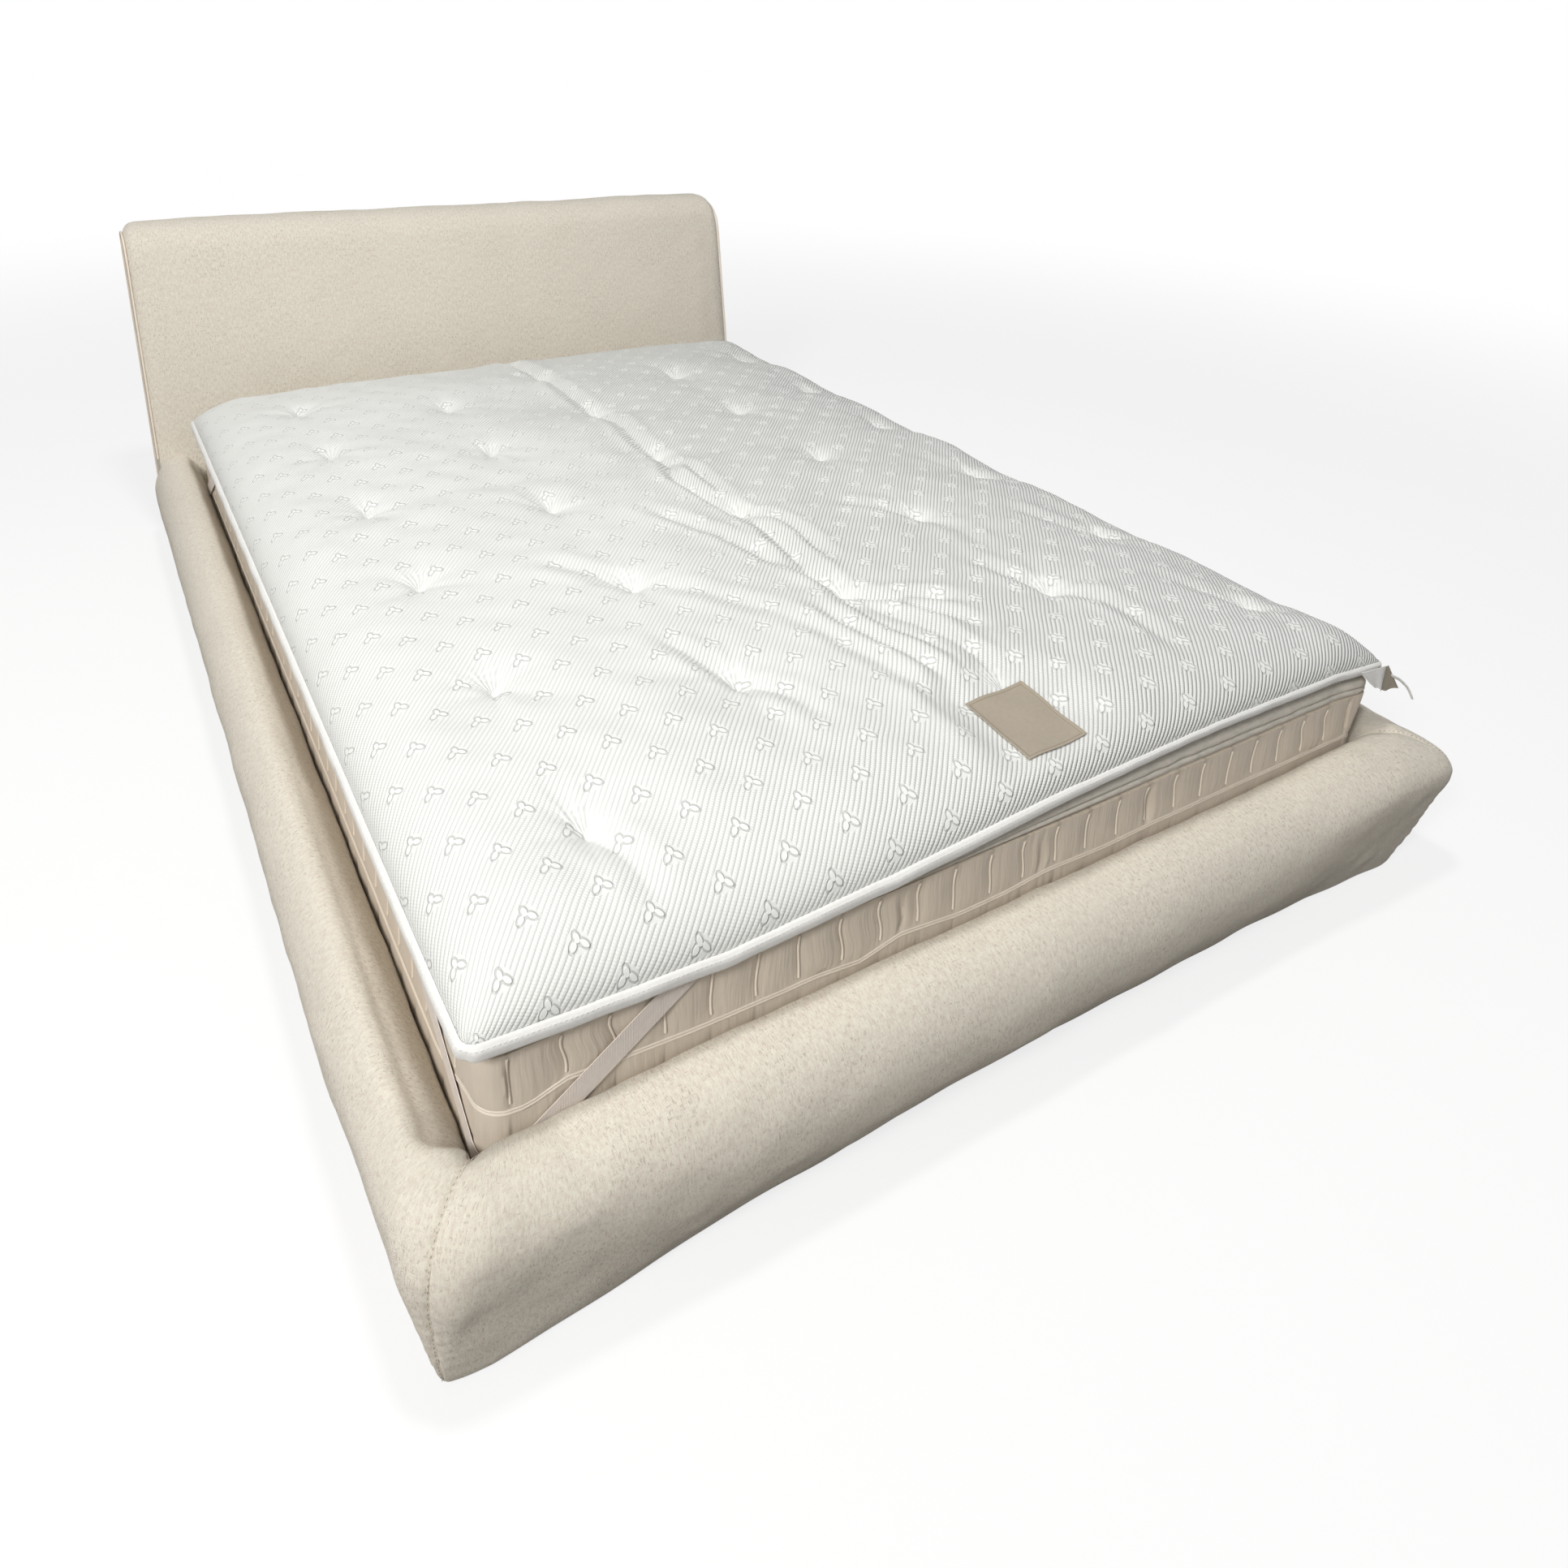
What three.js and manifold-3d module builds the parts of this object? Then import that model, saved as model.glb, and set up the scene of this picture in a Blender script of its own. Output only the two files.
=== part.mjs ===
// Low upholstered double bed: padded rails, a leaning headboard, a slatted base,
// a mattress with a channelled border and a tufted topper held by elastic corner bands.
// Millimetres, +Z up. The foot faces -Y, the headboard stands at +Y, left is -X.
import * as THREE from 'three'
import { mergeVertices } from 'three/addons/utils/BufferGeometryUtils.js'
import Module from 'manifold-3d'

const wasm = await Module()
wasm.setup()

// Gap between pieces that touch, and how far a cutting shape runs past what it cuts
const clearance = 0.3
const overrun = 5
const weldTolerance = clearance / 1000

// Mattress
const mattressWidth = 1400
const mattressLength = 2000
const mattressHeight = 200
const mattressCornerRadius = 30
const mattressEdgeInset = 12
const mattressEdgeHeight = 15
const channelPitch = 56
const channelDepth = 3
const borderSeamRise = 112
const borderGrooveDepth = 7
const borderPipingRadius = 3
const plainCornerSteps = 6

// Room between the mattress and the rails, behind it at the head, and in front of the headboard
const sideRoom = 10
const footRoom = 2
const headRoom = 36
const headboardRoom = 3

// Padded rails: each is a board inside a cover that is wide above and tapers to the floor
const railCrownHeight = 219
const railShoulderWidth = 98
const railHemWidth = 48
const railWaistWidth = 80
const railWaistHeight = 70
const hemHeight = 5
const hemRound = 4
const innerPadThickness = 12
const innerPadRise = 20
const crownPadding = 46
const insideCornerRadius = 3
// Share of the shoulder's width, then share of the crown's height, from the inner edge outward:
// full against the mattress at the foot, and sloping down to it along the sides
const footTopShares = [
  [0, 0.95], [0.03, 0.98], [0.12, 0.997], [0.25, 1], [0.4, 0.99], [0.57, 0.972],
  [0.71, 0.932], [0.83, 0.873], [0.92, 0.799], [0.98, 0.71], [1, 0.622]
]
const sideTopShares = [
  [0, 0.69], [0.12, 0.8], [0.22, 0.885], [0.32, 0.952], [0.4, 0.982], [0.5, 0.99],
  [0.62, 0.965], [0.75, 0.915], [0.86, 0.85], [0.96, 0.745], [1, 0.622]
]
const sideSlopeFadeRun = 45
// How round each foot corner is in plan, as a share of the width at that height,
// and how far the fuller corner's crown rises, fading out along both of its rails
const cornerRoundShares = { left: 1, right: 0.25 }
const cornerRises = { left: 0, right: 28 }
const cornerRiseRun = 330

// Timber frame
const boardThickness = 22
const boardEndRoom = 4
const glideHeight = 12
const glideRadius = 18
const glideRim = 3
const blockSize = 45
const seatHeight = 98
const headRailLip = 17
const ledgerWidth = 40
const ledgerHeight = 40
const beamWidth = 40
const beamHeight = 60
const housingDepth = 10

// Slatted base
const slatCount = 12
const slatWidth = 70
const slatThickness = 18
const slatEndRoom = 4
const firstSlatInset = 45
const tapeWidth = 30
const tapeThickness = 1.2
const tapeOffset = 330

// Bolts
const boltRadius = 4
const boltHeadRadius = 7.5
const boltHeadHeight = 5
const cornerBoltLength = 60
const headboardBoltLength = 150
const boltHeight = 65

// Headboard: its ends stand past the mattress's well, and its posts stand inside of that
const headboardHeight = 755
const headboardReach = 77
const headboardThickness = 130
const headboardLean = 0.198
const headboardBulge = 12
const headboardFrontRadius = 62
const headboardBackRadius = 36
const headboardEndTuck = 26
const headboardFrontTuck = 10
const headboardSideWall = 32
const headboardTopWall = 62
const headboardFoam = 60
const panelThickness = 18
const postSize = 45
const postInset = 60
const backClothThickness = 1.5
const headboardPipingRadius = 4.5
const pipingStartHeight = 228
const pipingSinkShare = 0.6
const frontBreakShare = 0.97
const spacerWidth = 62
const spacerHeight = 84

// Topper: it overhangs the mattress on each side and each end, and lies a little to the right
const topperSideOverhang = 16
const topperEndOverhang = 4
const topperShiftX = 4
const topperCornerRadius = 14
const topperWallHeight = 15
const topperEdgeRise = 60
const topperEdgeRun = 110
const topperCrownRise = 36
const topperCrownRun = 350
const topperPipingDepth = 8
const topperPipingHeight = 15
const tuftPitchX = 281
const tuftPitchY = 314
const tuftCentreX = 42
const tuftFirstRow = 154
const tuftSideRoom = 130
const tuftDepth = 25
const tuftRadius = 55

// Label patch on the topper, elastic corner bands and the loose end of the topper's piping
const labelWidth = 100
const labelLength = 124
const labelCentreX = 82
const labelInset = 112
const labelThickness = 1
const bandWidth = 40
const bandThickness = 1
const bandReachFoot = 225
const bandReachSide = 300
const bandLowPoint = 38
const slackBandDrop = 95
const slackBandStart = 95
const bandKneeShare = 0.6
const bandTipShare = 0.95
const slopeStep = 0.4
const tailRadius = 2.5
const tailLength = 62
const tailDrop = 26

// Heights and places that follow from the sizes above
const halfMattress = mattressWidth / 2
const coverInnerX = halfMattress + sideRoom
const coverInnerY = -footRoom
const boardInnerX = coverInnerX + innerPadThickness
const boardInnerY = coverInnerY - innerPadThickness
const boardTop = railCrownHeight - crownPadding
const innerPadBottom = seatHeight + innerPadRise
const headRailTop = seatHeight + headRailLip
const headRailY = mattressLength + headRoom
const headRailBack = headRailY + boardThickness
const headboardFrontY = headRailBack + headboardRoom
const headboardHalfWidth = coverInnerX + headboardReach
const postOffset = coverInnerX - postInset
const slatTop = seatHeight + clearance + slatThickness
const mattressBottom = slatTop + clearance + tapeThickness + clearance
const mattressTop = mattressBottom + mattressHeight
const topperBottom = mattressTop + clearance
const topperHalf = halfMattress + topperSideOverhang
const topperLength = mattressLength + topperEndOverhang * 2
const topperFootY = -topperEndOverhang
const topperHeadY = mattressLength + topperEndOverhang
const shoulderHeight = railCrownHeight * footTopShares[footTopShares.length - 1][1]

// Colours and finishes
const finish = (color, roughness, metalness = 0) => ({ color, roughness, metalness })
const finishes = {
  cover: finish(0xd9cdbb, 0.95),
  pine: finish(0xd8b98a, 0.7),
  plywood: finish(0xc9ab7c, 0.75),
  steel: finish(0xa9abad, 0.35, 1),
  plastic: finish(0x26262a, 0.6),
  webbing: finish(0x8f8a82, 0.9),
  ticking: finish(0xd3c4ad, 0.9),
  knit: finish(0xf0f0ee, 0.95),
  tape: finish(0xf4f3f0, 0.85),
  elastic: finish(0xd8d4d2, 0.85),
  label: finish(0xc0ab91, 0.85),
  lining: finish(0x4a4743, 0.95)
}

const bed = new THREE.Group()

// Adds one named piece in its own finish
function addPiece (name, geometry, look, position = [0, 0, 0]) {
  const mesh = new THREE.Mesh(geometry, new THREE.MeshStandardMaterial(finishes[look]))
  mesh.name = name
  mesh.position.set(...position)
  bed.add(mesh)
  return mesh
}

// Solid of a closed geometry, and a geometry of a solid
function toSolid (geometry) {
  const bare = geometry.index ? geometry.toNonIndexed() : geometry.clone()
  bare.deleteAttribute('normal')
  bare.deleteAttribute('uv')
  const merged = mergeVertices(bare, weldTolerance)
  return new wasm.Manifold(new wasm.Mesh({
    numProp: 3,
    vertProperties: new Float32Array(merged.attributes.position.array),
    triVerts: new Uint32Array(merged.index.array)
  }))
}

function toGeometry (solid) {
  const mesh = solid.getMesh()
  const geometry = new THREE.BufferGeometry()
  geometry.setAttribute('position', new THREE.BufferAttribute(mesh.vertProperties.slice(), 3))
  geometry.setIndex(Array.from(mesh.triVerts))
  return geometry
}

// A closed geometry with its faces turned outward
function closedGeometry (points, faces) {
  const volume = faces.reduce((sum, [a, b, c]) =>
    sum + points[a].dot(new THREE.Vector3().crossVectors(points[b], points[c])), 0)
  const turned = volume < 0 ? faces.map(([a, b, c]) => [a, c, b]) : faces
  const geometry = new THREE.BufferGeometry()
  geometry.setAttribute('position', new THREE.Float32BufferAttribute(points.flatMap((p) => p.toArray()), 3))
  geometry.setIndex(turned.flat())
  return geometry
}

// Skin between rings of equal length, with a flat cap on each end, or joined into a loop.
// flatten gives the two coordinates in which a cap is triangulated.
function loft (rings, flatten, loop = false) {
  const count = rings[0].length
  const points = rings.flat()
  const faces = []
  const spans = loop ? rings.length : rings.length - 1
  for (let i = 0; i < spans; i++) {
    const low = i * count
    const high = ((i + 1) % rings.length) * count
    for (let j = 0; j < count; j++) {
      const k = (j + 1) % count
      faces.push([low + j, low + k, high + k], [low + j, high + k, high + j])
    }
  }
  // A cap's triangles run with their ring's order or against it, whichever closes the skin
  const cap = (start, withRing) => {
    const outline = points.slice(start, start + count).map((p) => new THREE.Vector2(...flatten(p)))
    const ringTurn = THREE.ShapeUtils.area(outline) > 0
    for (const [a, b, c] of THREE.ShapeUtils.triangulateShape(outline, [])) {
      const sameTurn = (THREE.ShapeUtils.area([outline[a], outline[b], outline[c]]) > 0) === ringTurn
      const [second, third] = sameTurn === withRing ? [b, c] : [c, b]
      faces.push([start + a, start + second, start + third])
    }
  }
  if (!loop) {
    cap(0, false)
    cap(points.length - count, true)
  }
  return closedGeometry(points, faces)
}

// Box and cylinder geometries at a place
function boxBetween (low, high) {
  const size = high.map((value, i) => value - low[i])
  const centre = high.map((value, i) => (value + low[i]) / 2)
  return new THREE.BoxGeometry(...size).translate(...centre)
}

function addBox (name, look, low, high) {
  const size = high.map((value, i) => value - low[i])
  const centre = high.map((value, i) => (value + low[i]) / 2)
  addPiece(name, new THREE.BoxGeometry(...size), look, centre)
}

const roundSteps = 16

function cylinderAlong (axis, radius, start, end, centre) {
  const geometry = new THREE.CylinderGeometry(radius, radius, end - start, roundSteps)
  if (axis === 'x') return geometry.rotateZ(Math.PI / 2).translate((start + end) / 2, centre[0], centre[1])
  return geometry.translate(centre[0], (start + end) / 2, centre[1])
}

// Prism of a YZ outline between two X values
function prismAlongX (outline, xLow, xHigh) {
  const ring = (x) => outline.map(([y, z]) => new THREE.Vector3(x, y, z))
  return loft([ring(xLow), ring(xHigh)], (p) => [p.y, p.z])
}

const sides = [['left', -1], ['right', 1]]

// Range of X between two distances from the middle, on one side
const span = (sign, near, far) => sign < 0 ? [-far, -near] : [near, far]

// Corner blocks that join the boards, with the glides that the bed stands on
const blockOuterX = boardInnerX - clearance
const blockCentreX = blockOuterX - blockSize / 2
const footBlockY = boardInnerY + clearance
const headBlockY = headRailY - clearance - blockSize
const cornerPlaces = [['foot', footBlockY], ['head', headBlockY]]

function addCornerBlocks () {
  for (const [side, sign] of sides) {
    for (const [end, y] of cornerPlaces) {
      const name = `${end}_${side}`
      const centreY = y + blockSize / 2
      const [low, high] = span(sign, blockOuterX - blockSize, blockOuterX)
      const block = toSolid(boxBetween([low, y, glideHeight], [high, y + blockSize, seatHeight]))
      const hole = cylinderAlong(
        'x', boltRadius + clearance, low - overrun, high + overrun, [centreY, boltHeight])
      addPiece(`corner_block_${name}`, toGeometry(block.subtract(toSolid(hole))), 'pine')
      addGlide(`glide_${name}`, sign * blockCentreX, centreY)
      addCornerBolt(`corner_bolt_${name}`, sign, centreY)
    }
  }
}

function addGlide (name, x, y) {
  const top = glideHeight - clearance
  const profile = [
    [0, 0], [glideRadius - glideRim, 0], [glideRadius, glideRim], [glideRadius, top], [0, top]
  ].map((p) => new THREE.Vector2(...p))
  addPiece(name, new THREE.LatheGeometry(profile, roundSteps).rotateX(Math.PI / 2), 'plastic', [x, y, 0])
}

// A bolt is a shank and a head turned as one profile, then laid along an axis
function boltGeometry (length) {
  const profile = [
    [0, -boltHeadHeight], [boltHeadRadius, -boltHeadHeight], [boltHeadRadius, -clearance],
    [boltRadius, -clearance], [boltRadius, length], [0, length]
  ].map((p) => new THREE.Vector2(...p))
  return new THREE.LatheGeometry(profile, roundSteps)
}

function addCornerBolt (name, sign, y) {
  const head = blockOuterX - blockSize
  const bolt = boltGeometry(cornerBoltLength).rotateZ(-sign * Math.PI / 2)
  addPiece(name, bolt, 'steel', [sign * head, y, boltHeight])
}

// Boards of the frame
function addSideBoards () {
  const boltEnd = blockOuterX - blockSize + cornerBoltLength + clearance
  for (const [side, sign] of sides) {
    const [low, high] = span(sign, boardInnerX, boardInnerX + boardThickness)
    const holeRange = span(sign, boardInnerX - overrun, boltEnd)
    const nearEnd = [low, boardInnerY + clearance, glideHeight]
    let board = toSolid(boxBetween(nearEnd, [high, headRailBack, boardTop]))
    for (const [, y] of cornerPlaces) {
      const hole = cylinderAlong('x', boltRadius + clearance, ...holeRange, [y + blockSize / 2, boltHeight])
      board = board.subtract(toSolid(hole))
    }
    addPiece(`side_board_${side}`, toGeometry(board), 'pine')
  }
}

// Pocket that the centre beam's end sits in
function beamHousing (yLow, yHigh) {
  return toSolid(boxBetween(
    [-beamWidth / 2 - clearance, yLow, seatHeight - beamHeight - clearance],
    [beamWidth / 2 + clearance, yHigh, seatHeight + clearance]))
}

function addEndBoards () {
  const footHalf = boardInnerX + boardThickness - boardEndRoom
  const foot = toSolid(boxBetween(
    [-footHalf, boardInnerY - boardThickness, glideHeight], [footHalf, boardInnerY, boardTop]))
  const footPocket = beamHousing(boardInnerY - housingDepth, boardInnerY + overrun)
  addPiece('foot_board', toGeometry(foot.subtract(footPocket)), 'pine')
  const headHalf = boardInnerX - clearance
  let head = toSolid(boxBetween([-headHalf, headRailY, glideHeight], [headHalf, headRailBack, headRailTop]))
  head = head.subtract(beamHousing(headRailY - overrun, headRailY + housingDepth))
  for (const [, sign] of sides) {
    head = head.subtract(toSolid(cylinderAlong('y', boltRadius + clearance, headRailY - overrun,
      headRailBack + overrun, [sign * postOffset, boltHeight])))
  }
  addPiece('head_rail', toGeometry(head), 'pine')
}

function addLedgersAndBeam () {
  const yLow = footBlockY + blockSize + clearance
  const yHigh = headBlockY - clearance
  for (const [side, sign] of sides) {
    const [low, high] = span(sign, blockOuterX - ledgerWidth, blockOuterX)
    addBox(`ledger_${side}`, 'pine', [low, yLow, seatHeight - ledgerHeight], [high, yHigh, seatHeight])
  }
  const beamBottom = seatHeight - beamHeight
  addBox('centre_beam', 'pine',
    [-beamWidth / 2, boardInnerY - housingDepth + clearance, beamBottom],
    [beamWidth / 2, headRailY + housingDepth - clearance, seatHeight])
  const middle = mattressLength / 2
  addBox('centre_leg', 'pine', [-beamWidth / 2, middle - beamWidth / 2, glideHeight],
    [beamWidth / 2, middle + beamWidth / 2, beamBottom - clearance])
  addGlide('glide_centre', 0, middle)
}

// Loose slats on the ledgers, held at their spacing by two tapes
function addSlattedBase () {
  const half = coverInnerX - slatEndRoom
  const run = mattressLength - firstSlatInset * 2 - slatWidth
  const bottom = seatHeight + clearance
  for (let i = 0; i < slatCount; i++) {
    const y = firstSlatInset + run * i / (slatCount - 1)
    const name = `slat_${String(i + 1).padStart(2, '0')}`
    addBox(name, 'pine', [-half, y, bottom], [half, y + slatWidth, slatTop])
  }
  for (const [side, sign] of sides) {
    const tapeBottom = slatTop + clearance
    addBox(`slat_tape_${side}`, 'webbing',
      [sign * tapeOffset - tapeWidth / 2, firstSlatInset, tapeBottom],
      [sign * tapeOffset + tapeWidth / 2, mattressLength - firstSlatInset, tapeBottom + tapeThickness])
  }
}

// Section of a rail's cover: width out from the inner face, height, and share of a corner's rounding.
// It runs down the inner face, over the crown, down the tapered outside and round the board's slot.
const slotInner = innerPadThickness - clearance
const slotOuter = innerPadThickness + boardThickness + clearance
const slotTop = boardTop + clearance
const outsideShares = [
  [railWaistWidth, railWaistHeight],
  [railHemWidth + hemRound, hemHeight + hemRound * 2],
  [railHemWidth, hemHeight]
].map(([width, z]) => [width, z, (z - hemHeight) / (shoulderHeight - hemHeight)])
const coverSection = (topShares) => [
  [0, innerPadBottom, 0],
  ...topShares.map(([across, up]) => [across * railShoulderWidth, up * railCrownHeight, 1]),
  ...outsideShares,
  [slotOuter, hemHeight, 0], [slotOuter, slotTop, 0], [slotInner, slotTop, 0], [slotInner, innerPadBottom, 0]
]
const section = coverSection(footTopShares)
const sideSection = coverSection(sideTopShares)

const arcStations = 4
const mitreGap = clearance / Math.SQRT2
const headboardFace = (z) => headboardFrontY + headboardLean * z

// Share of a corner's shape that is left at a distance from it
const fadeOver = (run, distance) => (1 + Math.cos(Math.PI * Math.min(distance / run, 1))) / 2

// A foot corner of the cover: the radius in plan at a section point, and the crown's rise beside it
function footCorner (side) {
  const roundShare = cornerRoundShares[side]
  const radius = (width, roundness) => Math.max(insideCornerRadius, width * roundShare * roundness)
  const lifted = (z, distance) => {
    const rise = cornerRises[side] * fadeOver(cornerRiseRun, distance)
    return z > slotTop ? z + rise * (z - slotTop) / (railCrownHeight - slotTop) : z
  }
  return { radius, lifted }
}

// Distances from a foot corner, as shares of the run in which its crown rises
const riseShares = [1, 0.75, 0.5, 0.25]

// Side covers run from the headboard's face to the mitre at the foot
function addSideCovers () {
  const straightShares = [0, 0.45, 0.8]
  for (const [side, sign] of sides) {
    const { radius, lifted } = footCorner(side)
    const place = (out, along, z) => new THREE.Vector3(sign * (coverInnerX + out), coverInnerY - along, z)
    const rings = straightShares.map((share) => sideSection.map(([width, z]) => {
      const head = coverInnerY - headboardFace(z) + clearance
      return place(width, head * (1 - share), z)
    }))
    for (const share of riseShares) {
      const distance = cornerRiseRun * share
      const fade = fadeOver(sideSlopeFadeRun, distance)
      rings.push(section.map(([footWidth, footZ], i) => {
        const [width, z] = sideSection[i]
        return place(width + (footWidth - width) * fade, -distance, lifted(z + (footZ - z) * fade, distance))
      }))
    }
    for (let i = 0; i <= arcStations; i++) {
      const turn = Math.PI / 4 * i / arcStations
      rings.push(section.map(([width, z, roundness]) => {
        const r = radius(width, roundness)
        return place(width - r + r * Math.cos(turn), width - r + r * Math.sin(turn) - mitreGap, lifted(z, 0))
      }))
    }
    addPiece(`rail_cover_${side}`, loft(rings, (p) => [p.x, p.z]), 'cover')
  }
}

// The foot cover runs from mitre to mitre
function addFootCover () {
  const turns = Array.from({ length: arcStations + 1 }, (_, i) => Math.PI / 4 * (1 + i / arcStations))
  const end = (side, sign) => {
    const { radius, lifted } = footCorner(side)
    const place = (out, along, z) => new THREE.Vector3(sign * (coverInnerX + out), coverInnerY - along, z)
    const corner = turns.map((turn) => section.map(([width, z, roundness]) => {
      const r = radius(width, roundness)
      return place(width - r + r * Math.cos(turn) - mitreGap, width - r + r * Math.sin(turn), lifted(z, 0))
    }))
    const straight = riseShares.map((share) => cornerRiseRun * share)
      .map((distance) => section.map(([width, z]) => place(-distance, width, lifted(z, distance))))
    return [...corner, ...straight.reverse()]
  }
  const middle = section.map(([width, z]) => new THREE.Vector3(0, coverInnerY - width, z))
  const rings = [...end('left', -1), middle, ...end('right', 1).reverse()]
  addPiece('rail_cover_foot', loft(rings, (p) => [p.x, p.z]), 'cover')
}

// Side profile of the headboard, leaning back, from the front's hem over the top to the back's hem.
// tuck draws the outline in, and swell lifts the front between the rails and the top.
function headboardProfile (tuck, topTuck, swell) {
  const top = headboardHeight - topTuck
  const front = tuck
  const back = headboardThickness - tuck / 2
  const points = [[front, hemHeight], [front, pipingStartHeight * frontBreakShare]]
  for (const share of [0.25, 0.5, 0.75]) {
    const z = pipingStartHeight + (top - headboardFrontRadius - pipingStartHeight) * share
    points.push([front - swell * Math.sin(Math.PI * share), z])
  }
  const arc = (cy, radius, from, to, steps) => {
    for (let i = 0; i <= steps; i++) {
      const angle = from + (to - from) * i / steps
      points.push([cy + radius * Math.cos(angle), top - radius + radius * Math.sin(angle)])
    }
  }
  arc(front + headboardFrontRadius, headboardFrontRadius, Math.PI, Math.PI / 2, 5)
  arc(back - headboardBackRadius, headboardBackRadius, Math.PI / 2, 0, 4)
  points.push([back, hemHeight])
  return points.map(([y, z]) => [headboardFrontY + y + headboardLean * z, z])
}

function leaningBox (xLow, xHigh, yLow, yHigh, zLow, zHigh) {
  const at = (y, z) => [headboardFrontY + y + headboardLean * z, z]
  return prismAlongX([at(yLow, zLow), at(yHigh, zLow), at(yHigh, zHigh), at(yLow, zHigh)], xLow, xHigh)
}

const pocketHalf = headboardHalfWidth - headboardSideWall
const pocketTop = headboardHeight - headboardTopWall
const spacerTop = glideHeight + spacerHeight

function addHeadboardPad () {
  // Place across, then how much of the tuck and of the swell is left there
  const stationShares = [
    [-1, 1, 0.1], [-0.99, 0.42, 0.2], [-0.965, 0.1, 0.5], [-0.9, 0, 0.85], [-0.5, 0, 1], [0, 0, 1],
    [0.5, 0, 1], [0.9, 0, 0.85], [0.965, 0.1, 0.5], [0.99, 0.42, 0.2], [1, 1, 0.1]
  ]
  const rings = stationShares.map(([across, tuck, swell]) =>
    headboardProfile(headboardFrontTuck * tuck, headboardEndTuck * tuck, headboardBulge * swell)
      .map(([y, z]) => new THREE.Vector3(across * headboardHalfWidth, y, z)))
  let pad = toSolid(loft(rings, (p) => [p.y, p.z]))
  pad = pad.subtract(toSolid(leaningBox(-pocketHalf, pocketHalf, headboardFoam,
    headboardThickness + overrun, -overrun, pocketTop)))
  for (const [, sign] of sides) {
    pad = pad.subtract(toSolid(leaningBox(sign * postOffset - spacerWidth / 2 - clearance,
      sign * postOffset + spacerWidth / 2 + clearance, -overrun, headboardFoam + overrun, -overrun,
      spacerTop + clearance)))
  }
  addPiece('headboard_pad', toGeometry(pad), 'cover')
}

function addHeadboardFrame () {
  const panelFront = headboardFoam + clearance
  const panelBack = panelFront + panelThickness
  const postFront = panelBack + clearance
  const postBack = postFront + postSize
  const half = pocketHalf - clearance
  const top = pocketTop - clearance
  let panel = toSolid(leaningBox(-half, half, panelFront, panelBack, glideHeight, top))
  const boltEnd = headRailY + headboardBoltLength + clearance
  for (const [side, sign] of sides) {
    const x = sign * postOffset
    const hole = toSolid(cylinderAlong(
      'y', boltRadius + clearance, headRailY - overrun, boltEnd, [x, boltHeight]))
    panel = panel.subtract(hole)
    const [postLow, postHigh] = [x - postSize / 2, x + postSize / 2]
    const post = toSolid(leaningBox(postLow, postHigh, postFront, postBack, glideHeight, top))
    addPiece(`headboard_post_${side}`, toGeometry(post.subtract(hole)), 'pine')
    const panelY = (z) => headboardFace(z) + headboardFoam
    const spacer = prismAlongX([
      [headRailBack + clearance, glideHeight], [panelY(glideHeight), glideHeight],
      [panelY(spacerTop), spacerTop], [headRailBack + clearance, spacerTop]
    ], x - spacerWidth / 2, x + spacerWidth / 2)
    addPiece(`headboard_spacer_${side}`, toGeometry(toSolid(spacer).subtract(hole)), 'pine')
    addPiece(`headboard_bolt_${side}`, boltGeometry(headboardBoltLength), 'steel', [x, headRailY, boltHeight])
  }
  addPiece('headboard_panel', toGeometry(panel), 'plywood')
  addPiece('headboard_back_cloth', leaningBox(-half, half, postBack + clearance,
    postBack + clearance + backClothThickness, glideHeight, top), 'lining')
}

const cordSides = 6
const cordTension = 0.1

// Piping round each end of the headboard, from the rail's top over the headboard to its back hem
function addHeadboardPiping () {
  const reach = headboardPipingRadius * pipingSinkShare
  const outline = headboardProfile(headboardFrontTuck - reach, headboardEndTuck - reach, 0)
    .slice(2, -1)
  const start = [headboardFace(pipingStartHeight) + headboardFrontTuck - reach, pipingStartHeight]
  const backHem = hemHeight + headboardPipingRadius * 2
  const end = [headboardFace(backHem) + headboardThickness, backHem]
  const route = [start, ...outline, end]
  for (const [side, sign] of sides) {
    const x = sign * (headboardHalfWidth + clearance + headboardPipingRadius)
    const points = route.map(([y, z]) => new THREE.Vector3(x, y, z))
    const path = new THREE.CatmullRomCurve3(points, false, 'catmullrom', cordTension)
    const circle = new THREE.Shape(roundOutline(headboardPipingRadius, cordSides))
    addPiece(`headboard_piping_${side}`,
      new THREE.ExtrudeGeometry(circle, { steps: 30, extrudePath: path }), 'cover')
  }
}

function roundOutline (radius, count) {
  return Array.from({ length: count }, (_, i) => {
    const angle = Math.PI * 2 * i / count
    return new THREE.Vector2(radius * Math.cos(angle), radius * Math.sin(angle))
  })
}

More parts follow.
